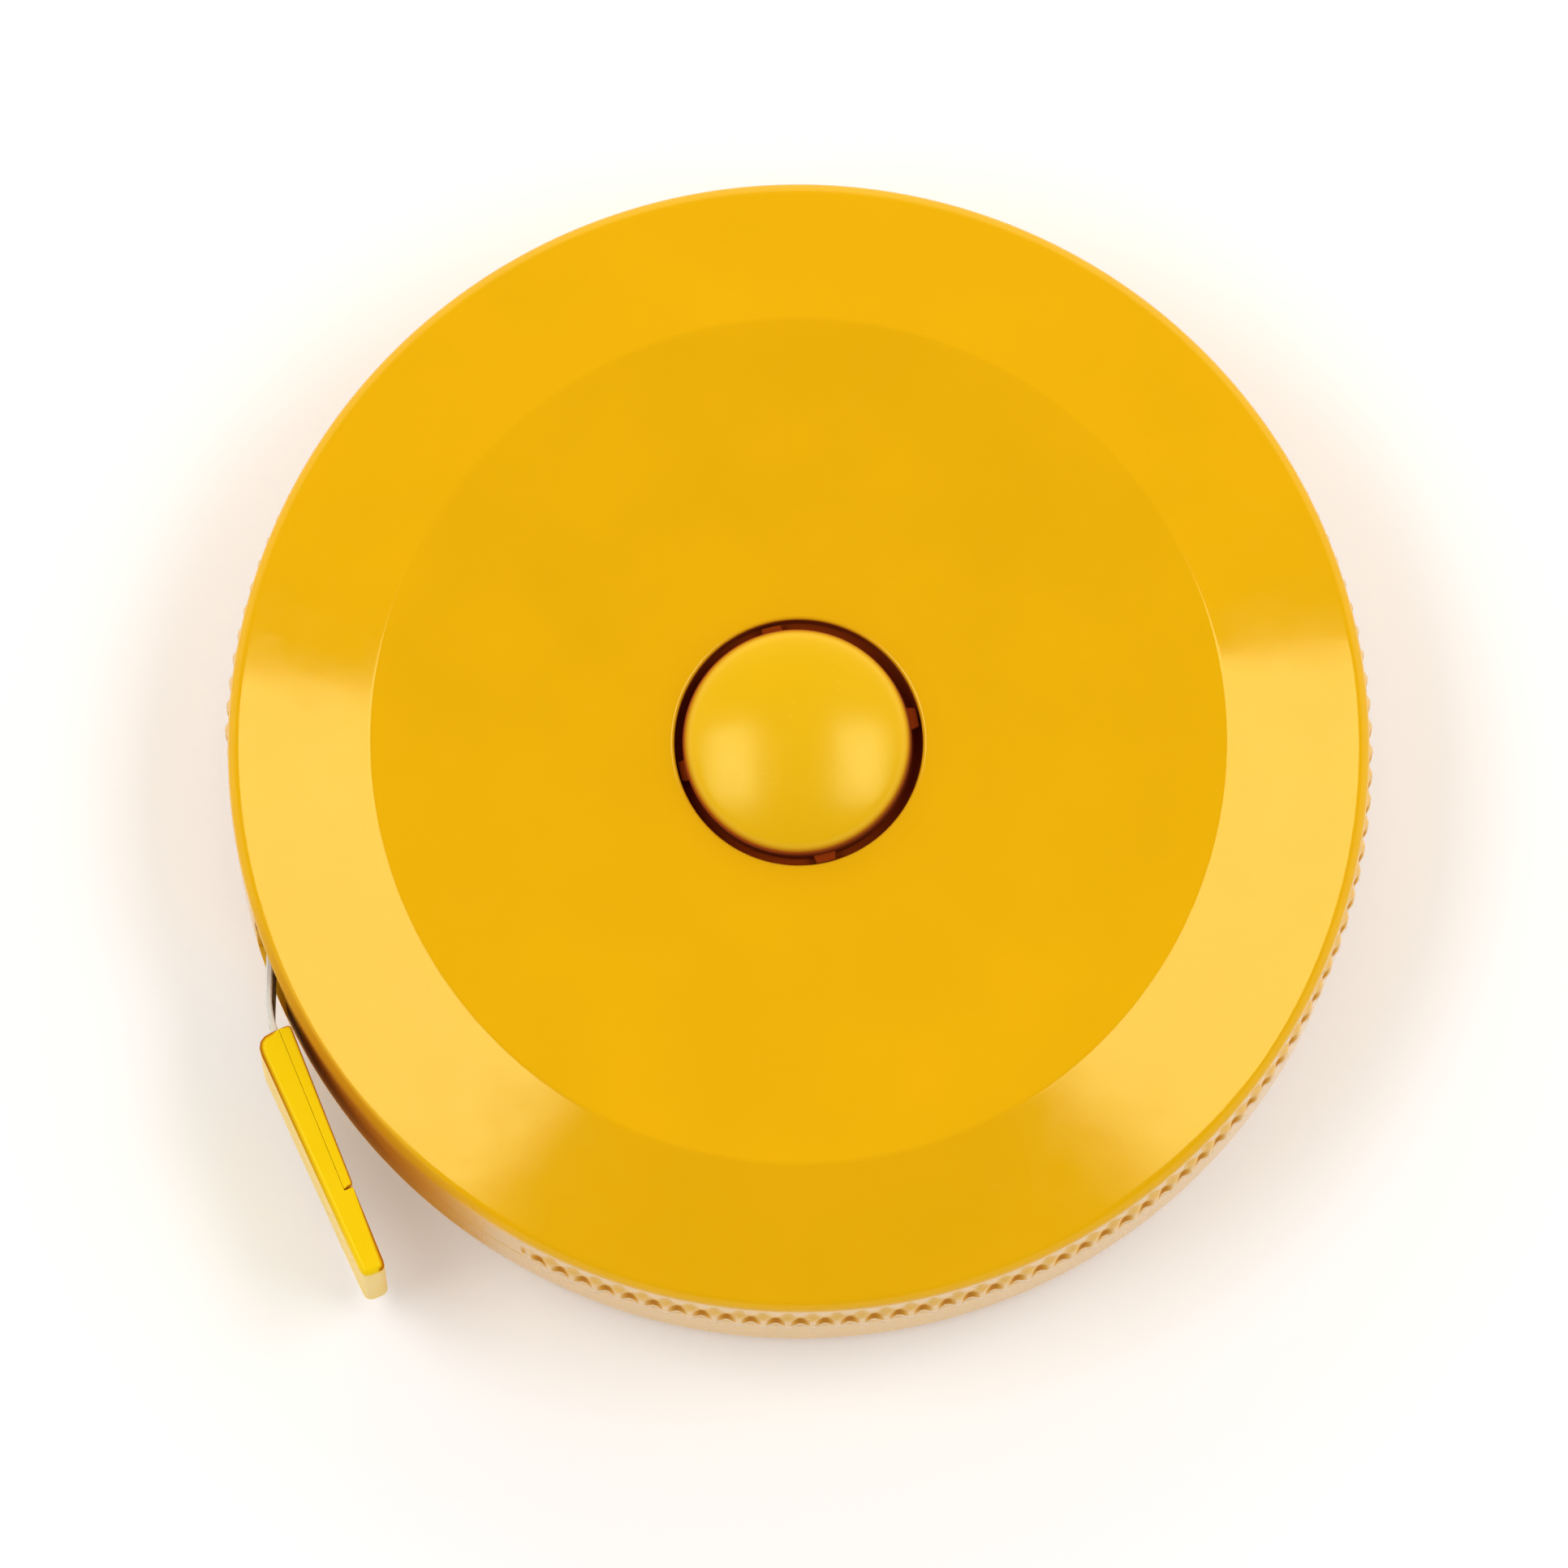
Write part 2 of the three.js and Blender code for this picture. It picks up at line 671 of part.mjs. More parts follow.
const yellow = { color: 0xf4b70a, roughness: 0.25, metalness: 0 };
const white = { color: 0xe8e4da, roughness: 0.5, metalness: 0 };
const steel = { color: 0x8f9398, roughness: 0.3, metalness: 1 };
const natural = { color: 0xd9d6cc, roughness: 0.55, metalness: 0 };
const rubber = { color: 0x26241f, roughness: 0.85, metalness: 0 };

const group = new THREE.Group();
const pieces = [
  ["back_shell", makeBackShell(), yellow],
  ["thrust_washer", makeThrustWasher(), natural],
  ["reel_drum", makeReelDrum(), natural],
  ["mainspring", makeMainspring(), steel],
  ["spring_cover", makeSpringCover(), natural],
  ["button_spring", makeButtonSpring(), steel],
  ["brake_disc", makeBrakeDisc(), natural],
  ["brake_pad", makeBrakePad(), rubber],
  ["brake_ring", makeBrakeRing(), natural],
  ["tape_winding", makeTapeWinding(), white],
  ["tape_lead", makeTapeLead(), white],
  ["tab_clamp", makeTabClamp(), yellow],
  ["end_tab", makeEndTab(), yellow],
  ["push_button", makePushButton(), yellow],
  ["front_shell", makeFrontShell(), yellow],
];
for (const [name, geometry, finish] of pieces) {
  const mesh = new THREE.Mesh(geometry, new THREE.MeshStandardMaterial(finish));
  mesh.name = name;
  group.add(mesh);
}

export default group;
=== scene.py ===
"""A round push-button tape measure in glossy yellow plastic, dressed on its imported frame."""

import json

import bmesh
import bpy
import numpy as np
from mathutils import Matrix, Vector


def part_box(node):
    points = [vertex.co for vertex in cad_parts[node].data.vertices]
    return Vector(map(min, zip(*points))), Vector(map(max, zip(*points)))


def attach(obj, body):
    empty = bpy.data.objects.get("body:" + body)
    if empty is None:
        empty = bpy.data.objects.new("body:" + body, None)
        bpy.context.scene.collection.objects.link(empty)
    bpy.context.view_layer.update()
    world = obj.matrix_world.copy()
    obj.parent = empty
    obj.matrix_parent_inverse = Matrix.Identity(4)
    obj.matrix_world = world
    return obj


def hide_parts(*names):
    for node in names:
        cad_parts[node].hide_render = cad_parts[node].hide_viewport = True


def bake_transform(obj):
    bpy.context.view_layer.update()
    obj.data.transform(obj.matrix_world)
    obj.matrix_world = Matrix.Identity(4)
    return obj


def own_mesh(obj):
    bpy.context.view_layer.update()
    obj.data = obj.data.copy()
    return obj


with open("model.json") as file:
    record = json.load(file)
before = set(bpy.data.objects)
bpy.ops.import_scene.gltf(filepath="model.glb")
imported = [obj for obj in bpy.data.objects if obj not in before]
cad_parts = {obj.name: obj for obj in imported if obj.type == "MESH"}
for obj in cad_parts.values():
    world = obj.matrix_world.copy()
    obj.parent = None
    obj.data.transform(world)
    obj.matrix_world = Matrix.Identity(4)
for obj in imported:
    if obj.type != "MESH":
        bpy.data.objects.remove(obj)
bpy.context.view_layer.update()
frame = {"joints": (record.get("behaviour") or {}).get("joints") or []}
scene = bpy.context.scene

# Camera: a long lens almost straight above the face, leaning a little towards the near rim.
# Its distance gives the nearly even scale that the photograph has over the whole face.
view_tilt = np.radians(8.8)
view_distance = 0.9
view_aim = np.array([-0.00063, -0.00171, 0.011])
view_back = np.array([0, -np.sin(view_tilt), np.cos(view_tilt)])
camera_data = bpy.data.cameras.new("long_lens")
camera_data.lens = 480
camera_data.clip_end = 100
camera = bpy.data.objects.new("long_lens", camera_data)
camera.location = view_aim + view_distance * view_back
camera.rotation_euler = (view_tilt, 0, 0)
scene.collection.objects.link(camera)
scene.camera = camera
scene.view_settings.view_transform = "Standard"

# Studio: a pale floor, a pale surround that is dark overhead, and two soft boxes above the face, left and
# right, whose reflections are the bright sectors of the bevel and the two spots on the button.
floor_drop = 0.0002
floor_reach = 40
floor_colour, white = (0.93, 0.93, 0.93, 1), (1, 1, 1, 1)
floor_white = 0.18
box_height = 0.5
box_inner, box_outer = 0.14, 0.33
left_box_front, left_box_back = -0.15, 0.124
right_box_front, right_box_back = -0.137, 0.144
box_brightness = 5.5
ceiling_start, ceiling_full = 0.5, 0.78
ceiling_light = 0.05
front_light, back_light = 1.14, 0.55


def add_node(tree, kind, inputs=(), **settings):
    """A shader node with its settings, whose inputs are given values or another node's outputs."""
    made = tree.nodes.new(kind)
    for name, value in settings.items():
        setattr(made, name, value)
    for socket, value in dict(inputs).items():
        if isinstance(value, bpy.types.NodeSocket):
            tree.links.new(value, made.inputs[socket])
        else:
            made.inputs[socket].default_value = value
    return made


def maths(tree, operation, *values):
    """The output of a Math node on these values."""
    return add_node(tree, "ShaderNodeMath", dict(enumerate(values)), operation=operation).outputs[0]


def ramp(tree, value, start, end, first=0, last=1):
    """The first value up to the start and the last one from the end on, with a smooth step between."""
    inputs = {"Value": value, 1: start, 2: end, 3: first, 4: last}
    return add_node(tree, "ShaderNodeMapRange", inputs, interpolation_type="SMOOTHSTEP").outputs[0]


def start_material(name, constants):
    """A new material, with its Principled BSDF's plain values set on its own sockets."""
    material = bpy.data.materials.new(name)
    material.use_nodes = True
    bsdf = material.node_tree.nodes["Principled BSDF"]
    for socket, value in constants.items():
        bsdf.inputs[socket].default_value = value
    return material, material.node_tree, bsdf


def seen_rays(tree):
    """1 for what the camera sees, straight or by reflection or through glass, and 0 for the light."""
    path = add_node(tree, "ShaderNodeLightPath").outputs
    mirrored = maths(tree, "MAXIMUM", path["Is Glossy Ray"], path["Is Transmission Ray"])
    return maths(tree, "MAXIMUM", path["Is Camera Ray"], mirrored)


def soft_box(name, left, right, front, back):
    """A rectangular lamp that faces straight down, with power = brightness * pi * area."""
    lamp = bpy.data.lights.new(name, "AREA")
    lamp.shape = "RECTANGLE"
    lamp.size = right - left
    lamp.size_y = back - front
    lamp.energy = box_brightness * np.pi * lamp.size * lamp.size_y
    box = bpy.data.objects.new(name, lamp)
    box.location = ((left + right) / 2, (front + back) / 2, box_height)
    scene.collection.objects.link(box)


soft_box("left_soft_box", -box_outer, -box_inner, left_box_front, left_box_back)
soft_box("right_soft_box", box_inner, box_outer, right_box_front, right_box_back)

world = bpy.data.worlds.new("pale_surround")
world.use_nodes = True
scene.world = world
sky = world.node_tree
direction = add_node(sky, "ShaderNodeTexCoord").outputs["Generated"]
heading = add_node(sky, "ShaderNodeSeparateXYZ", {0: direction}).outputs
ceiling = ramp(sky, heading["Z"], ceiling_start, ceiling_full, 1, ceiling_light)
shining = maths(sky, "MULTIPLY_ADD", heading["Y"], back_light, front_light)
strength = maths(sky, "MAXIMUM", shining, seen_rays(sky))
sky.links.new(maths(sky, "MULTIPLY", ceiling, strength), sky.nodes["Background"].inputs["Strength"])
sky.nodes["Background"].inputs["Color"].default_value = white

floor_mesh = bpy.data.meshes.new("floor")
floor_corners = [(-1, -1), (1, -1), (1, 1), (-1, 1)]
floor_points = [(x * floor_reach, y * floor_reach, -floor_drop) for x, y in floor_corners]
floor_mesh.from_pydata(floor_points, [], [(0, 1, 2, 3)])
floor = bpy.data.objects.new("floor", floor_mesh)
scene.collection.objects.link(floor)
paper_looks = {"Base Color": floor_colour, "Roughness": 1, "Specular IOR Level": 0, "Emission Color": white}
paper, paper_tree, paper_bsdf = start_material("floor_paper", paper_looks)
paper_seen = maths(paper_tree, "MULTIPLY", seen_rays(paper_tree), floor_white)
paper_tree.links.new(paper_seen, paper_bsdf.inputs["Emission Strength"])
floor_mesh.materials.append(paper)

# Back shell: one half of the case, injection moulded in glossy yellow plastic. It carries the post that the
# reel turns on, and its wall has a rabbet for the front shell's tongue and half of the tape's slot.
# Sizes are in millimetres here and below, and a mesh is brought to metres as it is made.
mm = 0.001
case_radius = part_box("back_shell")[1].x / mm
post_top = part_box("back_shell")[1].z / mm
shell_wall = 1.2
crease_radius = 18.4
back_lip = 1.5
case_bore = 23.4
parting_height = 6.25
parting_gap = 0.1
rabbet_radius, rabbet_floor = 24.0, 4.7
post_radius, pocket_radius, pocket_floor = 4.2, 3.2, 3.0
guide_radius = 2.35
slit_bottom, slit_half_width = 2.5, 0.4
slot_bottom, slot_top, slot_half_width = 2.4, 10.1, 0.7
slot_fade = np.radians(60)
knurl_count = 146
columns_per_knurl = 6
edge_split, same_point, weld_distance = 1e-7, 1e-6, 1e-7
# A point counts as on a face within face_slack of it, and as in its rounded corners within corner_slack.
corner_slack, face_slack, outer_skin = 0.1, 0.01, 0.5
flat_hold, least_curve = 1.3, 0.1
smooth_angle = np.radians(35)
yellow = (0.9, 0.462, 0.003, 1)
gloss_tint = (1, 1, 0.42, 1)
gap_fade, gap_floor, gap_floor_fade = 0.45, 10.0, 1.0
gap_inner, gap_outer = 4.9, 6.4
gap_inner_fade, gap_outer_fade = 0.4, 0.1
noise_low, noise_high = 0.3, 0.7
# Painted shade: the colour below is multiplied in where shade is painted, and roughness rises there; the pale
# colour after it is a painted highlight.
painted_shade_tint = (0.42, 0.09, 0.12, 1)
painted_highlight_colour = (0.92, 0.8, 0.64, 1)
painted_shade_roughness = 1.9
skin_outputs = {"Colour": "Color", "Roughness": "Float", "Height": "Float"}

# The tape's way out: a tangent of the roll, then a bend onto the line that the tab is pulled along.
pull = np.array(next(j["axis"] for j in frame["joints"] if j["name"] == "tape_pull")[:2])
outward = np.array([pull[1], -pull[0]])
tab_start = 2.9
tape_standoff = 25.49
bend_length = 0.9
lead_radius = 22.51
bend_corner = (tab_start - bend_length) * pull + tape_standoff * outward
corner_angle = np.arctan2(bend_corner[1], bend_corner[0]) % (2 * np.pi)
lead_angle = corner_angle - np.arccos(lead_radius / np.linalg.norm(bend_corner))


def rounded(corners, steps=5):
    """The points of an outline of [across, up, rounding] corners: a corner C becomes the curve
    (1-t)^2 A + 2t(1-t) C + t^2 B between the points A and B, its rounding away from C on both sides. A very
    small one is a plain chamfer from A to B. One more point a little past A and past B keeps the flats
    beside the curve flat in their shading."""
    corners = np.array(corners, float)
    spots, cut = corners[:, :2], corners[:, 2:]
    before = np.roll(spots, 1, axis=0) - spots
    after = np.roll(spots, -1, axis=0) - spots
    before = cut * before / np.linalg.norm(before, axis=1, keepdims=True)
    after = cut * after / np.linalg.norm(after, axis=1, keepdims=True)
    t = np.linspace(0, 1, steps)[:, None]
    t = np.where(cut[:, None] < least_curve, np.round(t), t)
    curves = spots[:, None] + (1 - t) ** 2 * before[:, None] + t**2 * after[:, None]
    hold_before = (spots + flat_hold * before)[:, None]
    hold_after = (spots + flat_hold * after)[:, None]
    points = np.concatenate([hold_before, curves, hold_after], axis=1).reshape(-1, 2)
    apart = np.linalg.norm(np.diff(points, axis=0), axis=1) > same_point
    return points[np.concatenate([[True], apart])]


def turned(radius, height, angle):
    """Points at (r cos a, r sin a, h), for a column of radii and heights and a row of angles."""
    return np.stack(np.broadcast_arrays(radius * np.cos(angle), radius * np.sin(angle), height), axis=-1)


def wrapped(angle):
    """The same angle between minus half a turn and half a turn."""
    return (angle + np.pi) % (2 * np.pi) - np.pi


def build(name, points, closed):
    """A mesh over a grid of points in millimetres. Columns join up round, rows do too where the grid is
    closed, and otherwise the first and the last row are each closed by a face."""
    rows, columns = points.shape[:2]
    index = np.arange(rows * columns).reshape(rows, columns)
    lower = index if closed else index[:-1]
    upper = np.roll(index, -1, axis=0) if closed else index[1:]
    quads = np.stack([lower, np.roll(lower, -1, axis=1), np.roll(upper, -1, axis=1), upper], axis=-1)
    faces = quads.reshape(-1, 4).tolist()
    if not closed:
        faces += [index[0].tolist(), index[-1].tolist()]
    mesh = bpy.data.meshes.new(name)
    mesh.from_pydata((points.reshape(-1, 3) * mm).tolist(), [], faces)
    solid = bmesh.new()
    solid.from_mesh(mesh)
    bmesh.ops.remove_doubles(solid, verts=solid.verts, dist=weld_distance)
    bmesh.ops.recalc_face_normals(solid, faces=solid.faces)
    solid.to_mesh(mesh)
    solid.free()
    mesh.shade_smooth()
    mesh.set_sharp_from_angle(angle=smooth_angle)
    sides = np.empty(len(mesh.polygons), np.int32)
    mesh.polygons.foreach_get("loop_total", sides)
    mesh.polygons.foreach_set("use_smooth", sides <= 4)
    piece = bpy.data.objects.new(name, mesh)
    scene.collection.objects.link(piece)
    return piece


def dress(piece, node, body, material):
    """The piece stands for a node of the frame, rides on its body and takes its finish."""
    piece.data.materials.append(material)
    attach(piece, body)
    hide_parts(node)


def slot_sides(radius):
    """The angles of the slot's two sides at a radius: acos(p / r) past the tangent point, for the offsets p
    of the two sides from the axis."""
    offsets = np.array([lead_radius + slot_half_width, lead_radius - slot_half_width])
    return lead_angle + np.arccos(offsets / radius)


def slot_lean(radius, angle):
    """How far the inner wall's points are moved round, so that the slot runs along the tape: the sides' move
    from the outer wall to this radius, fading out on both sides of the slot."""
    first, second = slot_sides(case_radius)
    places = [first - slot_fade, first, second, second + slot_fade]
    inner = (radius > case_bore - corner_slack) & (radius < case_radius - outer_skin)
    moves = slot_sides(np.where(inner, radius, case_radius)) - slot_sides(case_radius)
    shares = np.stack([np.interp(angle, places, [0, 1, 0, 0]), np.interp(angle, places, [0, 0, 1, 0])])
    return moves @ shares


def shell_angles(edges):
    """Even columns round a shell, with two more at each edge of a cut, just before and just after it."""
    even = np.linspace(0, 2 * np.pi, knurl_count * columns_per_knurl, endpoint=False)
    edges = np.array(edges)
    return np.sort(np.concatenate([even, edges - edge_split, edges + edge_split]))


def in_slot(angle):
    """Whether an angle lies between the slot's two sides."""
    first, second = slot_sides(case_radius)
    return (angle > first) & (angle < second)


def shader_group(name, inputs, outputs):
    """An empty node group with these inputs and outputs, each a name and a kind of socket."""
    tree = bpy.data.node_groups.new(name, "ShaderNodeTree")
    for label, kind in inputs.items():
        tree.interface.new_socket(label, in_out="INPUT", socket_type="NodeSocket" + kind)
    for label, kind in outputs.items():
        tree.interface.new_socket(label, in_out="OUTPUT", socket_type="NodeSocket" + kind)
    return tree, tree.nodes.new("NodeGroupInput").outputs, tree.nodes.new("NodeGroupOutput").inputs


def noise(tree, place, scale, detail=2.0, stretch=(1, 1, 1)):
    """Smooth noise from 0 to 1, with so many waves to the metre, stretched along the axes."""
    mapped = add_node(tree, "ShaderNodeMapping", {"Vector": place, "Scale": stretch}).outputs[0]
    inputs = {"Vector": mapped, "Scale": scale, "Detail": detail}
    return add_node(tree, "ShaderNodeTexNoise", inputs).outputs["Fac"]


def spread(tree, value, low, high):
    """Noise, which keeps near its middle, spread out from low to high."""
    inputs = {"Value": value, 1: noise_low, 2: noise_high, 3: low, 4: high}
    return add_node(tree, "ShaderNodeMapRange", inputs).outputs[0]


def mixed(tree, share, first, second, blend_type="MIX"):
    """Two colours mixed, with this share of the second one."""
    inputs = {0: share, 6: first, 7: second}
    return add_node(tree, "ShaderNodeMix", inputs, data_type="RGBA", blend_type=blend_type).outputs[2]


def shaded(tree, colour, factor):
    """A colour made lighter or darker by a factor."""
    grey = add_node(tree, "ShaderNodeCombineColor", {0: factor, 1: factor, 2: factor}).outputs[0]
    return mixed(tree, 1.0, colour, grey, "MULTIPLY")


def gap_shade_mask(tree, place, rim):
    """Where shade is painted round the button: 1 on the walls and the floor of the gap round the button,
    fading in below a rim at this height, and 0 elsewhere."""
    spot = add_node(tree, "ShaderNodeSeparateXYZ", {0: place}).outputs
    height = maths(tree, "DIVIDE", spot["Z"], mm)
    level = add_node(tree, "ShaderNodeVectorMath", {0: place, 1: (1, 1, 0)}, operation="MULTIPLY").outputs[0]
    length = add_node(tree, "ShaderNodeVectorMath", {0: level}, operation="LENGTH").outputs["Value"]
    radius = maths(tree, "DIVIDE", length, mm)
    deep = ramp(tree, maths(tree, "SUBTRACT", rim, height), 0, gap_fade)
    above_floor = ramp(tree, height, gap_floor - gap_floor_fade, gap_floor)
    past_button = ramp(tree, radius, gap_inner - gap_inner_fade, gap_inner)
    before_end = ramp(tree, radius, gap_outer, gap_outer - gap_outer_fade)
    ring = maths(tree, "MULTIPLY", past_button, before_end)
    return maths(tree, "MULTIPLY", maths(tree, "MULTIPLY", deep, above_floor), ring)


def make_moulded_skin():
    """The skin of a moulded piece: slow clouds in the colour, a breath of roughness, hairline rubs from use,
    the fine grain of the mould, painted shade that makes the gap round the button and other edges dark, and
    rougher there, and a painted highlight that makes the ends of ridges pale."""
    sockets = {"Colour": "Color"}
    sockets |= {label: "Float" for label in ("Roughness", "Clouds", "Rubs", "Gap Rim", "Painted Shade", "Painted Highlight")}
    tree, given, put = shader_group("moulded_skin", sockets, skin_outputs)
    place = add_node(tree, "ShaderNodeTexCoord").outputs["Object"]
    clouds = spread(tree, noise(tree, place, 170, 3), -1, 1)
    factor = maths(tree, "MULTIPLY_ADD", clouds, given["Clouds"], 1)
    # Painted shade: the gap round the button, and wherever a mesh carries an amount of shade.
    painted_shade = maths(tree, "MAXIMUM", gap_shade_mask(tree, place, given["Gap Rim"]), given["Painted Shade"])
    shaded_base = mixed(tree, painted_shade, shaded(tree, given["Colour"], factor), painted_shade_tint, "MULTIPLY")
    # Painted highlight: the colour mixed towards a pale one on the ends of the ridges.
    tree.links.new(mixed(tree, given["Painted Highlight"], shaded_base, painted_highlight_colour), put["Colour"])
    streaks = maths(
        tree,
        "MULTIPLY",
        spread(tree, noise(tree, place, 90, 4, (1, 26, 26)), 0, 1),
        spread(tree, noise(tree, place, 90, 4, (24, 2, 24)), 0, 1),
    )
    rubs = maths(tree, "MULTIPLY", maths(tree, "POWER", streaks, 3), given["Rubs"])
    breath = spread(tree, noise(tree, place, 600, 3), -0.03, 0.03)
    rubbed = maths(tree, "ADD", maths(tree, "ADD", given["Roughness"], breath), rubs)
    tree.links.new(maths(tree, "MULTIPLY_ADD", painted_shade, painted_shade_roughness, rubbed), put["Roughness"])
    grain = noise(tree, place, 5200, 2)
    waves = maths(tree, "MULTIPLY", noise(tree, place, 260, 2), 4)
    tree.links.new(maths(tree, "ADD", grain, waves), put["Height"])
    return tree


moulded_skin = make_moulded_skin()


def join_skin(tree, bsdf, skin, grain_height):
    """Links a skin group's colour and roughness, and its height through a Bump node."""
    tree.links.new(skin.outputs["Colour"], bsdf.inputs["Base Color"])
    tree.links.new(skin.outputs["Roughness"], bsdf.inputs["Roughness"])
    bump = add_node(tree, "ShaderNodeBump", {"Height": skin.outputs["Height"], "Distance": grain_height})
    tree.links.new(bump.outputs[0], bsdf.inputs["Normal"])


def moulded(
    name, colour, roughness, constants, clouds=0.02, rubs=0.1, grain_height=1e-6, gap_rim=0.0, marks=None
):
    """A moulded plastic with its own values of the shared skin, and the mesh attributes that say how much
    painted shade and painted highlight there is, if there are any."""
    material, tree, bsdf = start_material(name, constants)
    inputs = {"Colour": colour, "Roughness": roughness, "Clouds": clouds, "Rubs": rubs, "Gap Rim": gap_rim}
    skin = add_node(tree, "ShaderNodeGroup", node_tree=moulded_skin)
    for socket, value in inputs.items():
        skin.inputs[socket].default_value = value
    for socket, attribute in (marks or {}).items():
        amount = add_node(tree, "ShaderNodeAttribute", attribute_name=attribute).outputs["Fac"]
        tree.links.new(amount, skin.inputs[socket])
    join_skin(tree, bsdf, skin, grain_height)
    return material


# The case's plastic takes painted shade in the gap round the button below 11.85 mm, in the grooves between
# the ridges and on the wall beside the tab, and pale painted highlights on the ends of the ridges.
case_plastic = moulded(
    "case_plastic",
    yellow,
    roughness=0.1,
    constants={"Specular Tint": gloss_tint},
    gap_rim=11.85,
    marks={"Painted Shade": "wall_shade", "Painted Highlight": "ridge_end_highlight"},
)


def back_bevel(radius):
    """The back face's height on its bevel, a straight slope from the crease to the lip."""
    return back_lip * (radius - crease_radius) / (case_radius - crease_radius)


back_corners = [
    [0, 0, 0],
    [crease_radius, 0, 0.9],
    [case_radius, back_lip, 0.35],
    [case_radius, parting_height - parting_gap / 2, 0.12],
    [rabbet_radius, parting_height - parting_gap / 2, 0.05],
    [rabbet_radius, rabbet_floor, 0.05],
    [case_bore, rabbet_floor, 0.05],
    [case_bore, back_bevel(case_bore) + shell_wall, 0.4],
    [crease_radius, shell_wall, 0.5],
    [post_radius, shell_wall, 0.3],
    [post_radius, post_top, 0.12],
    [pocket_radius, post_top, 0.12],
    [pocket_radius, pocket_floor, 0.1],
    [guide_radius, pocket_floor, 0.05],
    [guide_radius, shell_wall, 0.1],
    [0, shell_wall, 0],
]
back_radius, back_height = np.hsplit(rounded(back_corners), 2)
slit_angle = np.arcsin(slit_half_width / (pocket_radius + post_radius) * 2)
back_angle = shell_angles([*slot_sides(case_radius), slit_angle, 2 * np.pi - slit_angle])
in_wall = (back_radius > case_bore - corner_slack) & in_slot(back_angle)
in_post = (back_radius < post_radius + corner_slack) & (back_radius > pocket_radius - corner_slack)
in_slit = in_post & (np.abs(wrapped(back_angle)) < slit_angle)
back_height = np.where(in_wall, np.minimum(back_height, slot_bottom), back_height)
back_height = np.where(in_slit, np.minimum(back_height, slit_bottom), back_height)
back_points = turned(back_radius, back_height, back_angle + slot_lean(back_radius, back_angle))
back_shell = build("back_shell_moulding", back_points, closed=False)
dress(back_shell, "back_shell", "case", case_plastic)

# Thrust washer: a slip ring stamped from natural plastic sheet, loose on the post under the reel, so that
# the reel doesn't rub on the shell.
washer_fit = 0.2
round_steps = 144
round_angle = np.linspace(0, 2 * np.pi, round_steps, endpoint=False)
natural_plastic = moulded(
    "natural_plastic",
    (0.69, 0.67, 0.6, 1),
    roughness=0.45,
    constants={"Coat Weight": 0.0},
    clouds=0.04,
    grain_height=3e-6,
)


def rounded_box(left, right, low, high, rounding, steps=5):
    """The outline of a rectangle whose four corners have the same rounding."""
    corners = [[left, low], [right, low], [right, high], [left, high]]
    return rounded([[*corner, rounding] for corner in corners], steps)


def plain_ring(name, node, inner, rounding):
    """A plain ring that fills a node's box, from its inner radius: a rounded rectangle turned on the axis."""
    low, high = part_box(node)
    radius, height = np.hsplit(rounded_box(inner, high.x / mm, low.z / mm, high.z / mm, rounding), 2)
    return build(name, turned(radius, height, round_angle), closed=True)


thrust_washer = plain_ring("slip_washer", "thrust_washer", post_radius + washer_fit, rounding=0.08)
dress(thrust_washer, "thrust_washer", "case", natural_plastic)

# Reel drum: the spool that the tape winds on, moulded in natural plastic. Its barrel is the mainspring's
# chamber, with steps for the cover and the brake ring, a slit for the spring's hook and a seat for the tape.
bearing_radius = 4.3
web_bottom, web_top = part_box("reel_drum")[0].z / mm, 2.5
barrel_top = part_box("reel_drum")[1].z / mm
flange_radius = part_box("reel_drum")[1].x / mm
barrel_radius, ring_seat_bore, cover_bore, chamber_radius = 11.93, 11.13, 10.73, 10.33
ring_seat, cover_seat = 9.05, 6.1
tape_turns = 14
seat_depth, seat_half_span, seat_lag = 0.55, np.radians(7), np.radians(10)
hook_slit_depth, hook_slit_half_width = 0.6, 0.4
drum_corners = [
    [bearing_radius, web_bottom, 0.1],
    [flange_radius, web_bottom, 0.2],
    [flange_radius, web_top, 0.2],
    [barrel_radius, web_top, 0.15],
    [barrel_radius, barrel_top, 0.1],
    [ring_seat_bore, barrel_top, 0.05],
    [ring_seat_bore, ring_seat, 0.04],
    [cover_bore, ring_seat, 0.05],
    [cover_bore, cover_seat, 0.04],
    [chamber_radius, cover_seat, 0.05],
    [chamber_radius, web_top, 0.15],
    [bearing_radius, web_top, 0.1],
]
drum_radius, drum_height = np.hsplit(rounded(drum_corners), 2)
seat_angle = wrapped(lead_angle - seat_lag)
hook_slit_angle = np.arcsin(hook_slit_half_width / chamber_radius)
drum_edges = [seat_angle - seat_half_span, seat_angle + seat_half_span, -hook_slit_angle, hook_slit_angle]
drum_edges = np.array(drum_edges) % (2 * np.pi)
drum_angle = np.sort(np.concatenate([round_angle, drum_edges - edge_split, drum_edges + edge_split]))
above_web = drum_height > web_top
on_barrel = (drum_radius > ring_seat_bore + corner_slack) & (drum_radius < barrel_radius + face_slack)
in_seat = on_barrel & above_web & (np.abs(wrapped(drum_angle - seat_angle)) < seat_half_span)
beside_chamber = np.abs(drum_radius - chamber_radius) < corner_slack
on_chamber = beside_chamber & above_web & (drum_height < cover_seat + face_slack)
in_hook_slit = on_chamber & (np.abs(wrapped(drum_angle)) < hook_slit_angle)
drum_radius = np.where(in_seat, np.minimum(drum_radius, barrel_radius - seat_depth), drum_radius)
drum_radius = np.where(in_hook_slit, chamber_radius + hook_slit_depth, drum_radius)
reel_drum = build("spool", turned(drum_radius, drum_height, drum_angle), closed=True)
dress(reel_drum, "reel_drum", "reel", natural_plastic)

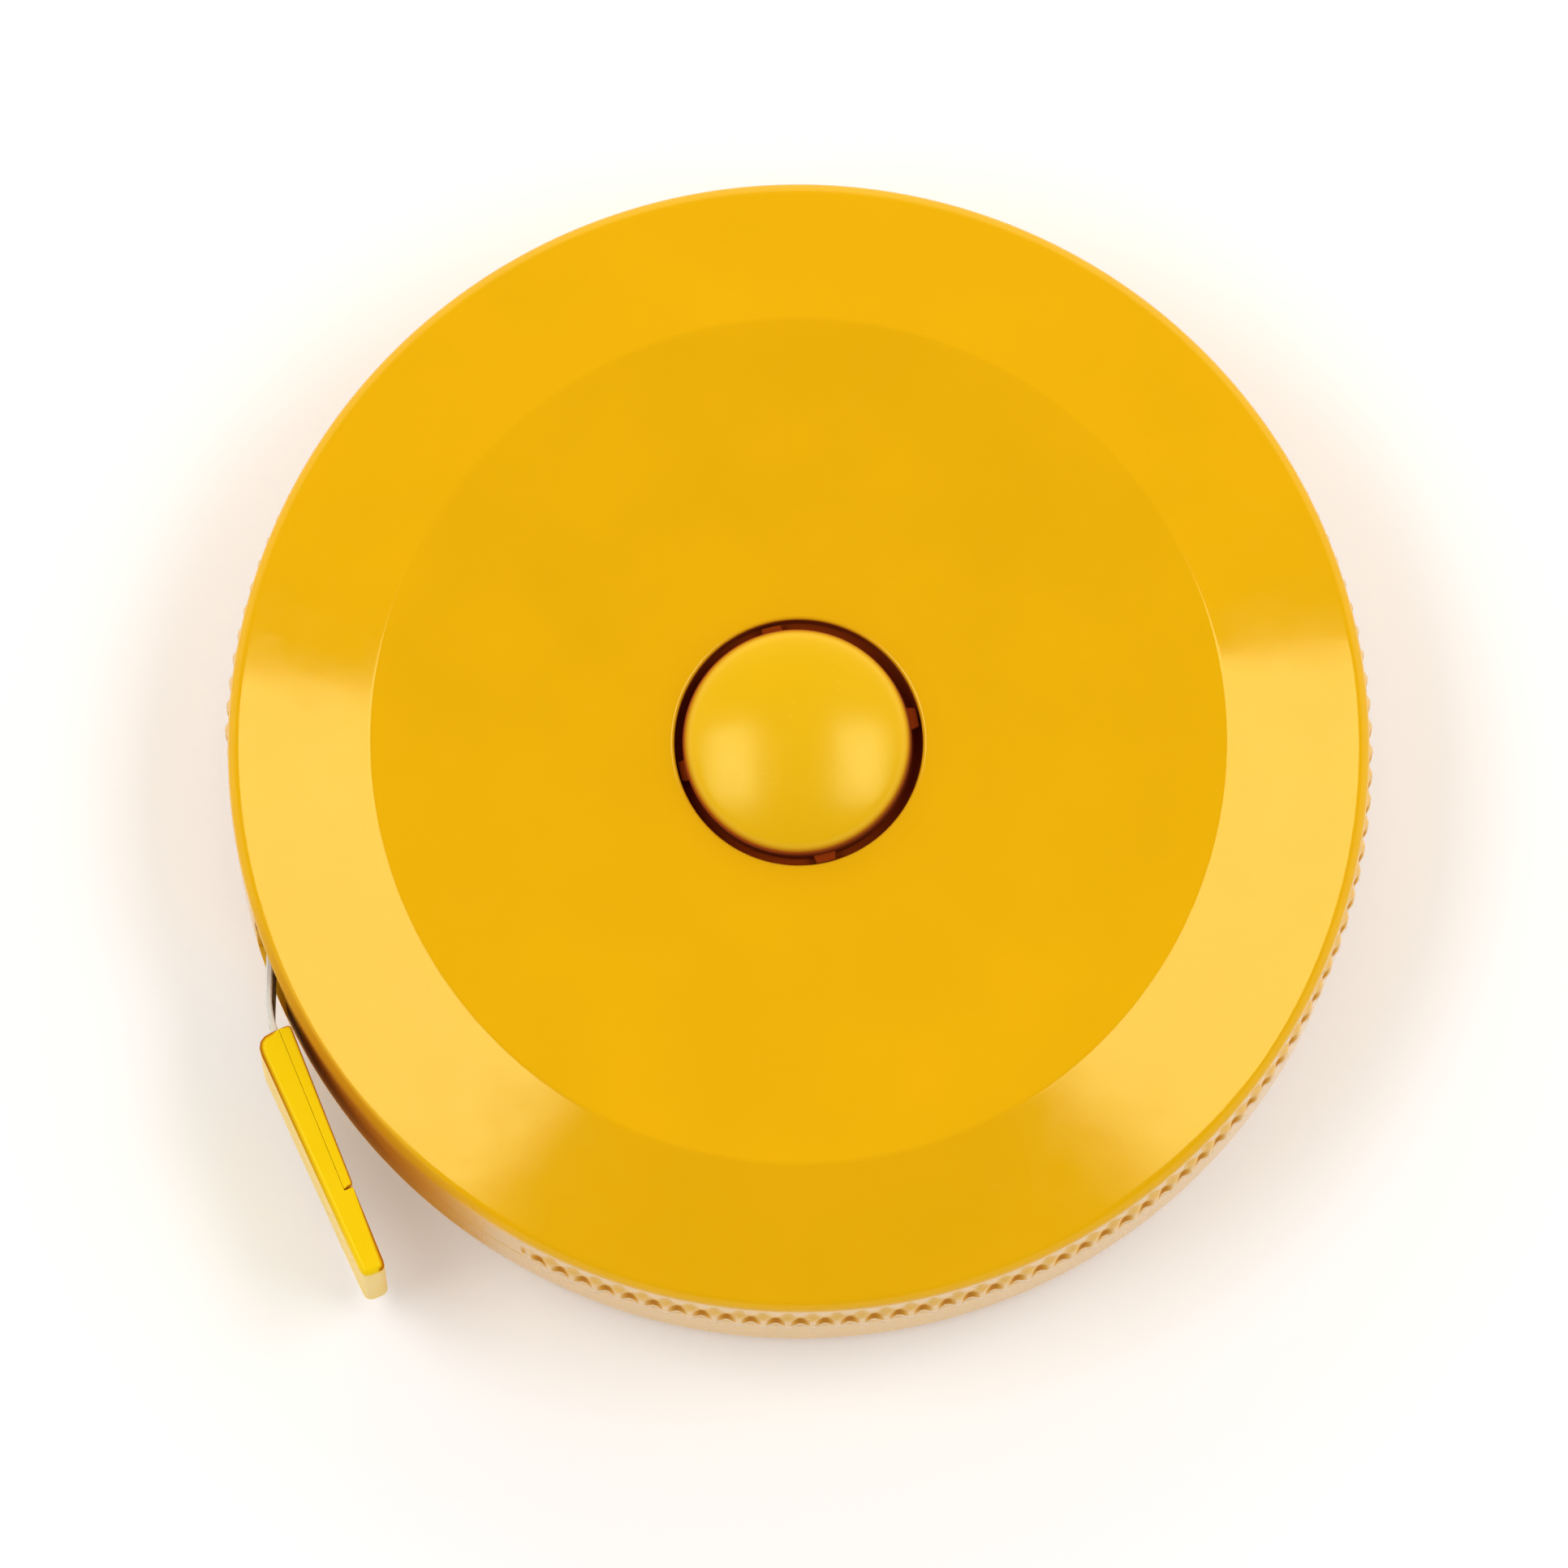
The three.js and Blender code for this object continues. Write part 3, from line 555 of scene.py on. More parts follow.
# Mainspring: a flat steel strip coiled in the barrel, hooked in the post's slit at its inner end and in the
# barrel at its outer end. It winds up as the tape is pulled and draws it back.
spring_low, spring_high = [end.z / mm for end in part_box("mainspring")]
spring_thickness, spring_rounding = 0.2, 0.04
spring_turns, spring_pitch, spring_start = 8, 0.66, 4.65
spring_hook = 0.6
steps_per_turn = 96


def spiral(start_radius, pitch, turns, end_angle):
    """A flat spiral r = start + pitch * t, which goes round once while t grows by 1 and ends at an angle."""
    t = np.linspace(0, turns, turns * steps_per_turn + 1)
    radius = start_radius + pitch * t
    angle = end_angle - 2 * np.pi * (turns - t)
    return np.stack([radius * np.cos(angle), radius * np.sin(angle)], axis=-1)


def strip(path, thickness, low, high, rounding):
    """A strip that stands on edge along a flat path: its section, a rounded rectangle, is carried along the
    path, with its width upwards and its thickness across the path's direction."""
    along = np.gradient(path, axis=0)
    along /= np.linalg.norm(along, axis=1, keepdims=True)
    aside = np.stack([along[:, 1], -along[:, 0]], axis=-1)
    section = rounded_box(-thickness / 2, thickness / 2, low, high, rounding, steps=3)
    flat = path[:, None] + aside[:, None] * section[None, :, :1]
    height = np.broadcast_to(section[None, :, 1:], (*flat.shape[:2], 1))
    return np.concatenate([flat, height], axis=-1)


def make_drawn_steel():
    """Bright drawn steel: fine lines along the strip, a faint straw tint and small dark specks."""
    tree, given, put = shader_group("drawn_steel", {"Colour": "Color", "Roughness": "Float"}, skin_outputs)
    place = add_node(tree, "ShaderNodeTexCoord").outputs["Object"]
    lines = noise(tree, place, 260, 3, (1, 1, 40))
    tint = spread(tree, noise(tree, place, 420, 3), 0.85, 1.08)
    tree.links.new(shaded(tree, given["Colour"], tint), put["Colour"])
    tree.links.new(maths(tree, "ADD", given["Roughness"], spread(tree, lines, -0.08, 0.1)), put["Roughness"])
    tree.links.new(lines, put["Height"])
    return tree


spring_steel, steel_tree, steel_bsdf = start_material("spring_steel", {"Metallic": 1.0})
steel_skin = add_node(steel_tree, "ShaderNodeGroup", node_tree=make_drawn_steel())
steel_skin.inputs["Colour"].default_value = (0.5, 0.51, 0.53, 1)
steel_skin.inputs["Roughness"].default_value = 0.3
join_skin(steel_tree, steel_bsdf, steel_skin, grain_height=2e-6)

spring_turn_path = spiral(spring_start, spring_pitch, spring_turns, 0)
outer_hook = np.array([[chamber_radius + spring_hook / 2, 0]])
spring_path = np.concatenate([spring_turn_path, outer_hook])
spring_points = strip(spring_path, spring_thickness, spring_low, spring_high, spring_rounding)
mainspring = build("flat_spiral_spring", spring_points, closed=False)
dress(mainspring, "mainspring", "reel", spring_steel)

# Mainspring's inner end: the last bit of the strip, bent inwards and held in the post's slit. It stays there
# with the case while the turns wind up round it.
inner_end_gap = 0.01
inner_end_reach = spring_start - spring_thickness / 2 - inner_end_gap
inner_end_path = np.array([[post_radius - spring_hook, 0], [inner_end_reach, 0]])
inner_end_points = strip(inner_end_path, spring_thickness, spring_low, spring_high, spring_rounding)
inner_end = build("spring_inner_end", inner_end_points, closed=False)
inner_end.data.materials.append(spring_steel)
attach(inner_end, "case")

# Spring cover: a thin moulded ring of natural plastic, snapped into the barrel's lower step. It closes the
# mainspring's chamber and runs on the post as the reel's upper bearing.
spring_cover = plain_ring("chamber_cover", "spring_cover", bearing_radius, rounding=0.1)
dress(spring_cover, "spring_cover", "reel", natural_plastic)

# Button spring: a coil of round steel wire in the post's pocket, which lifts the button and holds the brake
# on. Its end turns lie close, and it is squashed as the button is pressed.
coil_low, coil_high = [end.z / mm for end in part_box("button_spring")]
coil_wire, coil_turns, coil_mean = 0.4, 5, 2.7
coil_steps, wire_columns, end_crowding = 48, 12, 0.35
coil_t = np.linspace(0, 1, coil_turns * coil_steps + 1)
coil_rise = coil_t - end_crowding * np.sin(2 * np.pi * coil_t) / (2 * np.pi)
wire_round = np.linspace(0, 2 * np.pi, wire_columns, endpoint=False)
coil_angle = 2 * np.pi * coil_turns * coil_t[:, None]
coil_middle = coil_low + coil_wire / 2 + (coil_high - coil_low - coil_wire) * coil_rise[:, None]
coil_points = turned(
    coil_mean + coil_wire / 2 * np.cos(wire_round),
    coil_middle - coil_wire / 2 * np.sin(wire_round),
    coil_angle,
)
button_spring = build("coil_spring", coil_points, closed=False)
dress(button_spring, "button_spring", "button", spring_steel)
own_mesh(button_spring)

# Brake disc: a moulded plate of natural plastic, keyed on the button's hexagonal stem, with a groove for the
# pad. It goes up and down with the button and doesn't turn.
disc_low, disc_high = [end.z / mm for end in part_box("brake_disc")]
disc_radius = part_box("brake_disc")[1].x / mm
stem_radius, stem_fit, keyway_slack = 2.2, 0.1, 0.06
pad_inner, pad_outer, pad_fit = 8.35, 9.45, 0.05
pad_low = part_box("brake_pad")[0].z / mm


def hexagon(angle):
    """A hexagon's radius for a corner radius of 1: cos 30 / cos of the angle from a flat's middle."""
    sixth = np.pi / 3
    return np.cos(sixth / 2) / np.cos((angle - sixth / 2) % sixth - sixth / 2)


disc_corners = [
    [stem_radius + stem_fit, disc_low, 0.05],
    [disc_radius, disc_low, 0.15],
    [disc_radius, disc_high, 0.06],
    [pad_outer + pad_fit, disc_high, 0.04],
    [pad_outer + pad_fit, pad_low - pad_fit, 0.02],
    [pad_inner - pad_fit, pad_low - pad_fit, 0.02],
    [pad_inner - pad_fit, disc_high, 0.04],
    [stem_radius + stem_fit, disc_high, 0.05],
]
disc_radii, disc_heights = np.hsplit(rounded(disc_corners), 2)
on_keyway = disc_radii < stem_radius + stem_fit + keyway_slack
disc_radii = disc_radii * np.where(on_keyway, hexagon(round_angle), 1)
brake_disc = build("brake_plate", turned(disc_radii, disc_heights, round_angle), closed=True)
dress(brake_disc, "brake_disc", "button", natural_plastic)

# Brake pad: a ring of black rubber, pressed into the disc's groove. The button's spring holds it up against
# the brake ring, which stops the reel until the button is pressed.
rubber = moulded(
    "brake_rubber",
    (0.02, 0.018, 0.014, 1),
    roughness=0.8,
    constants={"Specular IOR Level": 0.35},
    clouds=0.2,
    grain_height=1e-5,
)
brake_pad = plain_ring("rubber_ring", "brake_pad", pad_inner, rounding=0.12)
dress(brake_pad, "brake_pad", "button", rubber)

# Brake ring: a moulded ring of natural plastic, pressed into the barrel's upper step. It turns with the reel,
# and the pad rubs on its lower face.
ring_bore = 8.0
brake_ring = plain_ring("friction_ring", "brake_ring", ring_bore, rounding=0.1)
dress(brake_ring, "brake_ring", "reel", natural_plastic)

# Tape winding: the roll of coated cloth tape on the reel, woven of glass fibre, coated pale and printed with
# a scale. Its inner end is bonded in the barrel's seat.
tape_low, tape_high = [end.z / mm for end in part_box("tape_winding")]
tape_thickness, tape_rounding = 0.28, 0.06
tape_start, tape_pitch = 12.37, 0.69
anchor_span = 2 * seat_half_span
cloth_colour = (0.8, 0.77, 0.69, 1)
ink_colour = (0.025, 0.024, 0.022, 1)
thread_pitch, thread_shade = 0.28, 0.05
tick_half_width, print_margin = 0.09, 0.1
ticks = {1: 1.6, 5: 2.6, 10: 3.8}


def make_printed_cloth():
    """Coated plain weave, where a thread's height is sin(x) sin(y) over the thread pitch, printed with ticks
    from both edges: longer ones at each five and ten millimetres."""
    tree, given, put = shader_group("printed_cloth", {"Along": "Float", "Across": "Float"}, skin_outputs)
    place = add_node(tree, "ShaderNodeTexCoord").outputs["Object"]
    phase = 2 * np.pi / thread_pitch
    warp = maths(tree, "SINE", maths(tree, "MULTIPLY", given["Along"], phase))
    weft = maths(tree, "SINE", maths(tree, "MULTIPLY", given["Across"], phase))
    weave = maths(tree, "MULTIPLY", warp, weft)
    tree.links.new(weave, put["Height"])
    from_top = maths(tree, "SUBTRACT", tape_high - tape_low, given["Across"])
    from_edge = maths(tree, "MINIMUM", given["Across"], from_top)
    on_face = maths(tree, "GREATER_THAN", from_edge, print_margin)
    ink = 0.0
    for spacing, length in ticks.items():
        near = maths(tree, "LESS_THAN", maths(tree, "PINGPONG", given["Along"], spacing / 2), tick_half_width)
        tick = maths(tree, "MULTIPLY", near, maths(tree, "LESS_THAN", from_edge, length))
        ink = maths(tree, "MAXIMUM", ink, maths(tree, "MULTIPLY", tick, on_face))
    cloth = shaded(tree, cloth_colour, maths(tree, "MULTIPLY_ADD", weave, thread_shade, 1))
    cloth = shaded(tree, cloth, spread(tree, noise(tree, place, 300, 3), 0.93, 1.03))
    tree.links.new(mixed(tree, ink, cloth, ink_colour), put["Colour"])
    tree.links.new(spread(tree, noise(tree, place, 900, 2), 0.48, 0.62), put["Roughness"])
    return tree


printed_cloth = make_printed_cloth()


def cloth_material(name):
    """A cloth material, with its tree and its print's two coordinates still to be linked."""
    material, tree, bsdf = start_material(name, {"Sheen Weight": 0.05})
    skin = add_node(tree, "ShaderNodeGroup", node_tree=printed_cloth)
    join_skin(tree, bsdf, skin, grain_height=6e-6)
    return material, tree, skin.inputs


roll_cloth, roll_tree, roll_print = cloth_material("tape_cloth_rolled")
measure = add_node(roll_tree, "ShaderNodeAttribute", attribute_name="tape_measure").outputs["Vector"]
measured = add_node(roll_tree, "ShaderNodeSeparateXYZ", {0: measure}).outputs
roll_tree.links.new(measured["X"], roll_print["Along"])
roll_tree.links.new(measured["Y"], roll_print["Across"])

roll_path = spiral(tape_start, tape_pitch, tape_turns, lead_angle)
anchor_angle = lead_angle - anchor_span
anchor_radius = barrel_radius - seat_depth + tape_thickness
anchor = anchor_radius * np.array([[np.cos(anchor_angle), np.sin(anchor_angle)]])
roll_path = np.concatenate([anchor, roll_path])
roll_points = strip(roll_path, tape_thickness, tape_low, tape_high, tape_rounding)
tape_winding = build("rolled_tape", roll_points, closed=False)
roll_steps = np.linalg.norm(np.diff(roll_path, axis=0), axis=1)
roll_length = np.concatenate([[0], np.cumsum(roll_steps)])
roll_measure = np.zeros_like(roll_points)
roll_measure[..., 0] = roll_length[:, None]
roll_measure[..., 1] = roll_points[..., 2] - tape_low
marks = tape_winding.data.attributes.new("tape_measure", "FLOAT_VECTOR", "POINT")
marks.data.foreach_set("vector", roll_measure.astype(np.float32).ravel())
dress(tape_winding, "tape_winding", "reel", roll_cloth)

# Tape lead: the tape's outer end, from the roll through the slot, round the bend and into the tab, where it
# is clamped. It runs out of the slot as the tab is pulled.
tape_grip = 6.3
straight_steps, bend_steps, grip_steps = 24, 90, 12
lead_direction = np.array([-np.sin(lead_angle), np.cos(lead_angle)])
bend_turn = np.arccos(lead_direction @ pull)
bend_radius = bend_length / np.tan(bend_turn / 2)
bend_start = bend_corner - bend_length * lead_direction
bend_end = bend_corner + bend_length * pull
bend_aside = np.array([-lead_direction[1], lead_direction[0]])
tangent_point = lead_radius * np.array([np.cos(lead_angle), np.sin(lead_angle)])
bend_swing = np.linspace(0, bend_turn, bend_steps)[:, None]
bend_run = np.sin(bend_swing) * lead_direction + (1 - np.cos(bend_swing)) * bend_aside
bend = bend_start + bend_radius * bend_run
straight = tangent_point + np.linspace(0, 1, straight_steps)[:-1, None] * (bend_start - tangent_point)
grip = bend_end + np.linspace(0, tape_grip, grip_steps)[1:, None] * pull
lead_path = np.concatenate([straight, bend, grip])
lead_points = strip(lead_path, tape_thickness, tape_low, tape_high, tape_rounding)
tape_lead = build("tape_end", lead_points, closed=False)

print_start = 1.5
lead_cloth, lead_tree, lead_print = cloth_material("tape_cloth_pulled")
spot = add_node(lead_tree, "ShaderNodeTexCoord").outputs["Object"]
pull_scale = (*(pull / mm), 0)
along_pull = add_node(lead_tree, "ShaderNodeVectorMath", {0: spot, 1: pull_scale}, operation="DOT_PRODUCT")
lead_along = maths(lead_tree, "ADD", along_pull.outputs["Value"], print_start)
lead_tree.links.new(lead_along, lead_print["Along"])
spot_height = add_node(lead_tree, "ShaderNodeSeparateXYZ", {0: spot}).outputs["Z"]
lead_tree.links.new(maths(lead_tree, "MULTIPLY_ADD", spot_height, 1 / mm, -tape_low), lead_print["Across"])
tape_lead.data.materials.append(lead_cloth)
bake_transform(tape_lead)
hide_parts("tape_lead")

# Tab clamp: the small inner plate of the pull tab, moulded in the case's plastic and welded to the tab, with
# the tape's end gripped between them.
tab_low, tab_high = [end.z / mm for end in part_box("end_tab")]
clamp_length = 7.5
clamp_face, clamp_relief, clamp_outer = 24.8, 0.1, 25.34
seam_edge, seam_inset = 0.012, 0.004
clamp_edge, rim_steps = 0.12, 6
tab_yellow = (0.99, 0.63, 0.002, 1)
tab_gloss = (1, 0.9, 0.15, 1)
# How far along from the head the painted shade on the tab's rims reaches, and over how much it fades.
head_shade_reach, head_shade_fade = 2.0, 1.6


def edge_levels(low, high, edge):
    """Heights up a plate whose rims are rounded like a quarter circle, and how far the outline draws in at
    each: edge * (1 - cos t) up and edge * (1 - sin t) in."""
    t = np.linspace(0, np.pi / 2, rim_steps)
    rise, inset = edge * (1 - np.cos(t)), edge * (1 - np.sin(t))
    holds = [low + flat_hold * edge, high - flat_hold * edge]
    levels = np.concatenate([low + rise, holds, (high - rise)[::-1]])
    return levels, np.concatenate([inset, [0, 0], inset[::-1]])


def plate(outline, levels, inset):
    """A plate from its plan outline, (along, out) in the tab's frame: at each level the outline, drawn in
    along its own normals. The outline may differ from level to level."""
    sides = np.roll(outline, -1, axis=1) - np.roll(outline, 1, axis=1)
    normals = np.stack([sides[..., 1], -sides[..., 0]], axis=-1)
    normals /= np.maximum(np.linalg.norm(normals, axis=-1, keepdims=True), same_point)
    drawn = outline - normals * inset[..., None]
    flat = drawn[..., :1] * pull + drawn[..., 1:] * outward
    height = np.broadcast_to(levels[:, None, None], (*flat.shape[:2], 1))
    return np.concatenate([flat, height], axis=-1)


def points_of(piece):
    """The points of a piece's mesh, in millimetres."""
    points = np.empty(3 * len(piece.data.vertices), np.float32)
    piece.data.vertices.foreach_get("co", points)
    return points.reshape(-1, 3).astype(float) / mm


def mark(piece, name, amounts):
    """Keeps an amount for each point of a piece's mesh under a name, which its material reads."""
    piece.data.attributes.new(name, "FLOAT", "POINT").data.foreach_set("value", amounts)


def paint_tab_edge_shade(piece, edge):
    """Marks where shade is painted on the tab: in the middle of its rounded rims, d deep of the edge by
    sin(pi d), round the head and all along the side that faces the case."""
    spots = points_of(piece)
    along, out = spots[:, :2] @ pull, spots[:, :2] @ outward
    depth = np.minimum(tab_high - spots[:, 2], spots[:, 2] - tab_low) / edge
    rim = np.sin(np.pi * np.clip(depth, 0, 1))
    head = np.clip(1 - (along - tab_start - head_shade_reach) / head_shade_fade, 0, 1)
    inner = np.clip((clamp_outer - out) / clamp_edge, 0, 1)
    mark(piece, "tab_edge_shade", rim * np.maximum(head, inner))


# The tab's plastic takes painted shade along the rims of its head and of the side that faces the case.
tab_plastic = moulded(
    "tab_plastic",
    tab_yellow,
    roughness=0.3,
    constants={"Specular Tint": tab_gloss},
    rubs=0.03,
    marks={"Painted Shade": "tab_edge_shade"},
)
clamp_end = tab_start + clamp_length
clamp_corners = [
    [tab_start, clamp_face, 0.2],
    [tab_start, clamp_outer, seam_edge],
    [clamp_end, clamp_outer, seam_edge],
    [clamp_end, clamp_face + clamp_relief, 0.2],
]
clamp_outline = rounded(clamp_corners)[::-1]
clamp_levels, clamp_inset = edge_levels(tab_low, tab_high, clamp_edge)
at_seam = np.clip((clamp_outer - clamp_outline[:, 1]) / clamp_edge, seam_inset / clamp_edge, 1)
clamp_outlines = np.broadcast_to(clamp_outline, (len(clamp_levels), *clamp_outline.shape))
clamp_points = plate(clamp_outlines, clamp_levels, clamp_inset[:, None] * at_seam)
tab_clamp = build("tab_inner_plate", clamp_points, closed=False)
paint_tab_edge_shade(tab_clamp, clamp_edge)
dress(tab_clamp, "tab_clamp", "tape_end", tab_plastic)

# End tab: the outer plate of the pull tab, moulded in the case's plastic. It has a shallow seat for the tape
# under the clamp, a rounded head where the tape goes in, and past the clamp a thicker square tip to hold.
tab_length = 11.4
tab_end = tab_start + tab_length
tab_face, seat_floor, tab_outer = 25.35, 25.68, 26.48
tip_outer, tip_thickness = 26.03, 1.1
seat_fit, step_gap = 0.1, 0.05
seat_end = tab_start + tape_grip + seat_fit
tab_step = clamp_end + step_gap
tab_edge = 0.25
step_rounding, step_share = 0.1, 0.15
tab_corners = [
    [tab_start, tab_face, seam_edge],
    [seat_end, tab_face, seam_edge],
    [tab_step, tab_face, seam_edge],
    [tab_step, tip_outer - tip_thickness, step_rounding],
    [tab_end, tip_outer - tip_thickness, 0.4],
    [tab_end, tip_outer, 0.4],
    [tab_start, tab_outer, 0.8],
]
tab_outline = rounded(tab_corners)
rim_levels, rim_inset = edge_levels(tab_low, tab_high, tab_edge)
seat_low, seat_high = tape_low - seat_fit, tape_high + seat_fit
seat_levels = [seat_low, seat_low, seat_high, seat_high]
half_way = len(rim_levels) // 2
tab_levels = np.concatenate([rim_levels[:half_way], seat_levels, rim_levels[half_way:]])
tab_inset = np.concatenate([rim_inset[:half_way], np.zeros(len(seat_levels)), rim_inset[half_way:]])
in_tape_seat = (tab_outline[:, 0] < seat_end) & (tab_outline[:, 1] < seat_floor)
seat_outline = tab_outline.copy()
seat_outline[in_tape_seat, 1] = seat_floor
tab_outlines = np.repeat(tab_outline[None], len(tab_levels), axis=0)
tab_outlines[half_way + 1 : half_way + 3] = seat_outline
beside_clamp = np.clip((tab_outline[:, 1] - tab_face) / tab_edge, seam_inset / tab_edge, 1)
at_step = (tab_outline[:, 1] < tab_face - seam_edge) & (tab_outline[:, 0] < tab_step + 2 * step_rounding)
beside_clamp = np.where(tab_outline[:, 0] > tab_step + 2 * step_rounding, 1, beside_clamp)
beside_clamp = np.where(at_step, step_share, beside_clamp)
tab_points = plate(tab_outlines, tab_levels, tab_inset[:, None] * beside_clamp)
end_tab = build("pull_tab", tab_points, closed=False)
paint_tab_edge_shade(end_tab, tab_edge)
dress(end_tab, "end_tab", "tape_end", tab_plastic)

# Push button: a domed button moulded in the case's plastic, with a flange that holds it in the front shell,
# four ribs that centre it in the hole and a hexagonal stem that carries the brake disc. Its cap stands a
# little off the hole's middle.
button_yellow = (0.9, 0.505, 0.005, 1)
button_columns, dome_rows = 288, 24
button_angle = np.linspace(0, 2 * np.pi, button_columns, endpoint=False)
stem_tip, button_top = [end.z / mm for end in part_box("push_button")]
button_radius, dome_rise, dome_edge = 4.9, 0.95, 0.65
button_flange_radius, flange_rounding = 6.2, 0.1
flange_low, flange_high = 9.65, 10.45
boss_radius, disc_gap = 3.4, 0.05
boss_low = disc_high + disc_gap
hole_edge = 11.8
rib_angle, rib_half_width, rib_reach = np.radians(13), 0.45, 5.25
rib_drop, rib_step = 0.6, 0.05
lug_radius = 6.8
cap_play, cap_blend = 0.095, 0.5


def from_rib(angle):
    """How far round an angle is from the nearest of the four ribs, which are a quarter turn apart."""
    return np.abs((angle - rib_angle + np.pi / 4) % (np.pi / 2) - np.pi / 4)


button_edge = button_top - dome_rise
dome_radius = (button_radius**2 + dome_rise**2) / (2 * dome_rise)
dome_places = np.linspace(button_radius - dome_edge, 0, dome_rows)
dome_heights = button_top - dome_radius + np.sqrt(dome_radius**2 - dome_places**2)
rib_top = hole_edge - rib_drop
button_corners = [
    [0, stem_tip, 0],
    [stem_radius, stem_tip, 0.15],
    [stem_radius, boss_low, 0.05],
    [boss_radius, boss_low, 0.1],
    [boss_radius, flange_low, 0.1],
    [button_flange_radius, flange_low, flange_rounding],
    [button_flange_radius, flange_high, flange_rounding],
    [button_radius, flange_high, 0.05],
    [button_radius, rib_top - rib_step, 0],
    [button_radius, rib_top, 0],
    [button_radius, button_edge, 0.45],
]
button_corners += [[place, height, 0] for place, height in zip(dome_places, dome_heights)]
button_radii, button_heights = np.hsplit(rounded(button_corners), 2)
on_stem = (button_radii < stem_radius + face_slack) & (button_heights < disc_high)
on_side = (np.abs(button_radii - button_radius) < face_slack) & (button_heights < rib_top)
beside_flange = np.abs(button_radii - button_flange_radius) < flange_rounding + face_slack
on_flange = beside_flange & (button_heights < flange_high + face_slack)
in_rib = on_side & (from_rib(button_angle) < rib_half_width / rib_reach)
in_lug = on_flange & (from_rib(button_angle) < rib_half_width / lug_radius)
button_radii = button_radii * np.where(on_stem, hexagon(button_angle), 1)
button_radii = np.where(in_rib, rib_reach, button_radii)
button_radii = np.where(in_lug, button_radii + lug_radius - button_flange_radius, button_radii)
# The button's plastic takes painted shade on its side and its rim below 12.4 mm, down into the gap.
button_plastic = moulded(
    "button_plastic",
    button_yellow,
    roughness=0.24,
    constants={"Specular Tint": gloss_tint},
    gap_rim=12.4,
)
button_points = turned(button_radii, button_heights, button_angle)
button_points[..., 0] -= cap_play * np.clip((button_heights - rib_top) / cap_blend, 0, 1)
push_button = build("domed_button", button_points, closed=False)
dress(push_button, "push_button", "button", button_plastic)

# Front shell: the other half of the case, in the same plastic. It has a shallow dish round the button's hole,
# a broad bevel out to the lip and a ribbed grip band on the wall, and it is pressed onto the back shell.
hole_radius = 5.35
crease_height = 2 * parting_height
crease_clear, hole_clear, dish_rows = 1.2, 0.4, 12
front_lip = 11.0
band_top, band_hold, band_rows = 9.3, 0.2, 13
knurl_height, ridge_runout = 0.2, 0.5
smooth_centre, smooth_half_span = np.radians(211), np.radians(30)
collar_bore, collar_radius, collar_low, groove_radius = 6.5, 7.7, 9.0, 7.0
groove_half_width, collar_slack = 0.65, 0.12
stop_inner, stop_outer, stop_low = 9.4, 10.4, 10.0
tongue_radius, tongue_low = 23.9, 4.8
front_parting = parting_height + parting_gap / 2


def dish(radius):
    """The face's height in the dish, a parabola from the hole's edge up to the crease."""
    share = (radius**2 - hole_radius**2) / (crease_radius**2 - hole_radius**2)
    return hole_edge + (crease_height - hole_edge) * share


def front_bevel(radius):
    """The face's height on the bevel, a straight slope from the crease down to the lip."""
    fall = (front_lip - crease_height) * (radius - crease_radius) / (case_radius - crease_radius)
    return crease_height + fall


def ridges(angle):
    """1 on the crests of the grip's ridges and 0 in the grooves between them, in a cosine wave."""
    return 0.5 - 0.5 * np.cos((angle - smooth_centre) * knurl_count)


band_half = (band_top - front_parting) / 2
band_middle = (band_top + front_parting) / 2
band_heights = band_middle + band_half * np.sin(np.linspace(-np.pi / 2, np.pi / 2, band_rows))
dish_places = np.linspace(crease_radius - crease_clear, hole_radius + hole_clear, dish_rows)
front_corners = [
    [hole_radius, dish(hole_radius) - shell_wall, 0.05],
    [collar_bore, dish(collar_bore) - shell_wall, 0.05],
    [collar_bore, collar_low, 0.08],
    [collar_radius, collar_low, 0.08],
    [collar_radius, dish(collar_radius) - shell_wall, 0.09],
    [stop_inner, dish(stop_inner) - shell_wall, 0.09],
    [stop_inner, stop_low, 0.08],
    [stop_outer, stop_low, 0.08],
    [stop_outer, dish(stop_outer) - shell_wall, 0.09],
    [crease_radius, crease_height - shell_wall, 0.5],
    [case_bore, front_bevel(case_bore) - shell_wall, 0.3],
    [case_bore, tongue_low, 0.05],
    [tongue_radius, tongue_low, 0.08],
    [tongue_radius, front_parting, 0.05],
]
front_corners += [[case_radius, height, 0] for height in band_heights]
front_corners += [
    [case_radius, band_top + band_hold, 0],
    [case_radius, front_lip, 0.42],
    [crease_radius, crease_height, 0.12],
]
front_corners += [[place, dish(place), 0] for place in dish_places]
front_corners += [[hole_radius, hole_edge, 0.16]]
front_radius, front_height = np.hsplit(rounded(front_corners), 2)
groove_angle = groove_half_width / collar_bore
groove_middles = rib_angle + np.pi / 2 * np.arange(4)
groove_edges = np.concatenate([groove_middles - groove_angle, groove_middles + groove_angle])
front_angle = shell_angles([*slot_sides(case_radius), *groove_edges])
front_lean = slot_lean(front_radius, front_angle)
collar_top = dish(collar_bore) - shell_wall
on_collar = (np.abs(front_radius - collar_bore) < collar_slack) & (front_height < collar_top + face_slack)
front_radius = np.where(on_collar & (from_rib(front_angle) < groove_angle), groove_radius, front_radius)
from_smooth = np.abs(wrapped(front_angle - smooth_centre)) - smooth_half_span
ridge_wave = ridges(front_angle) * np.clip(from_smooth * knurl_count / (2 * np.pi), 0, 1)
from_band_end = np.minimum(band_top - front_height, 2 * (front_height - front_parting))
ridge_run = np.sin(np.pi / 2 * np.clip(from_band_end / ridge_runout, 0, 1))
on_band = front_radius > case_radius - face_slack
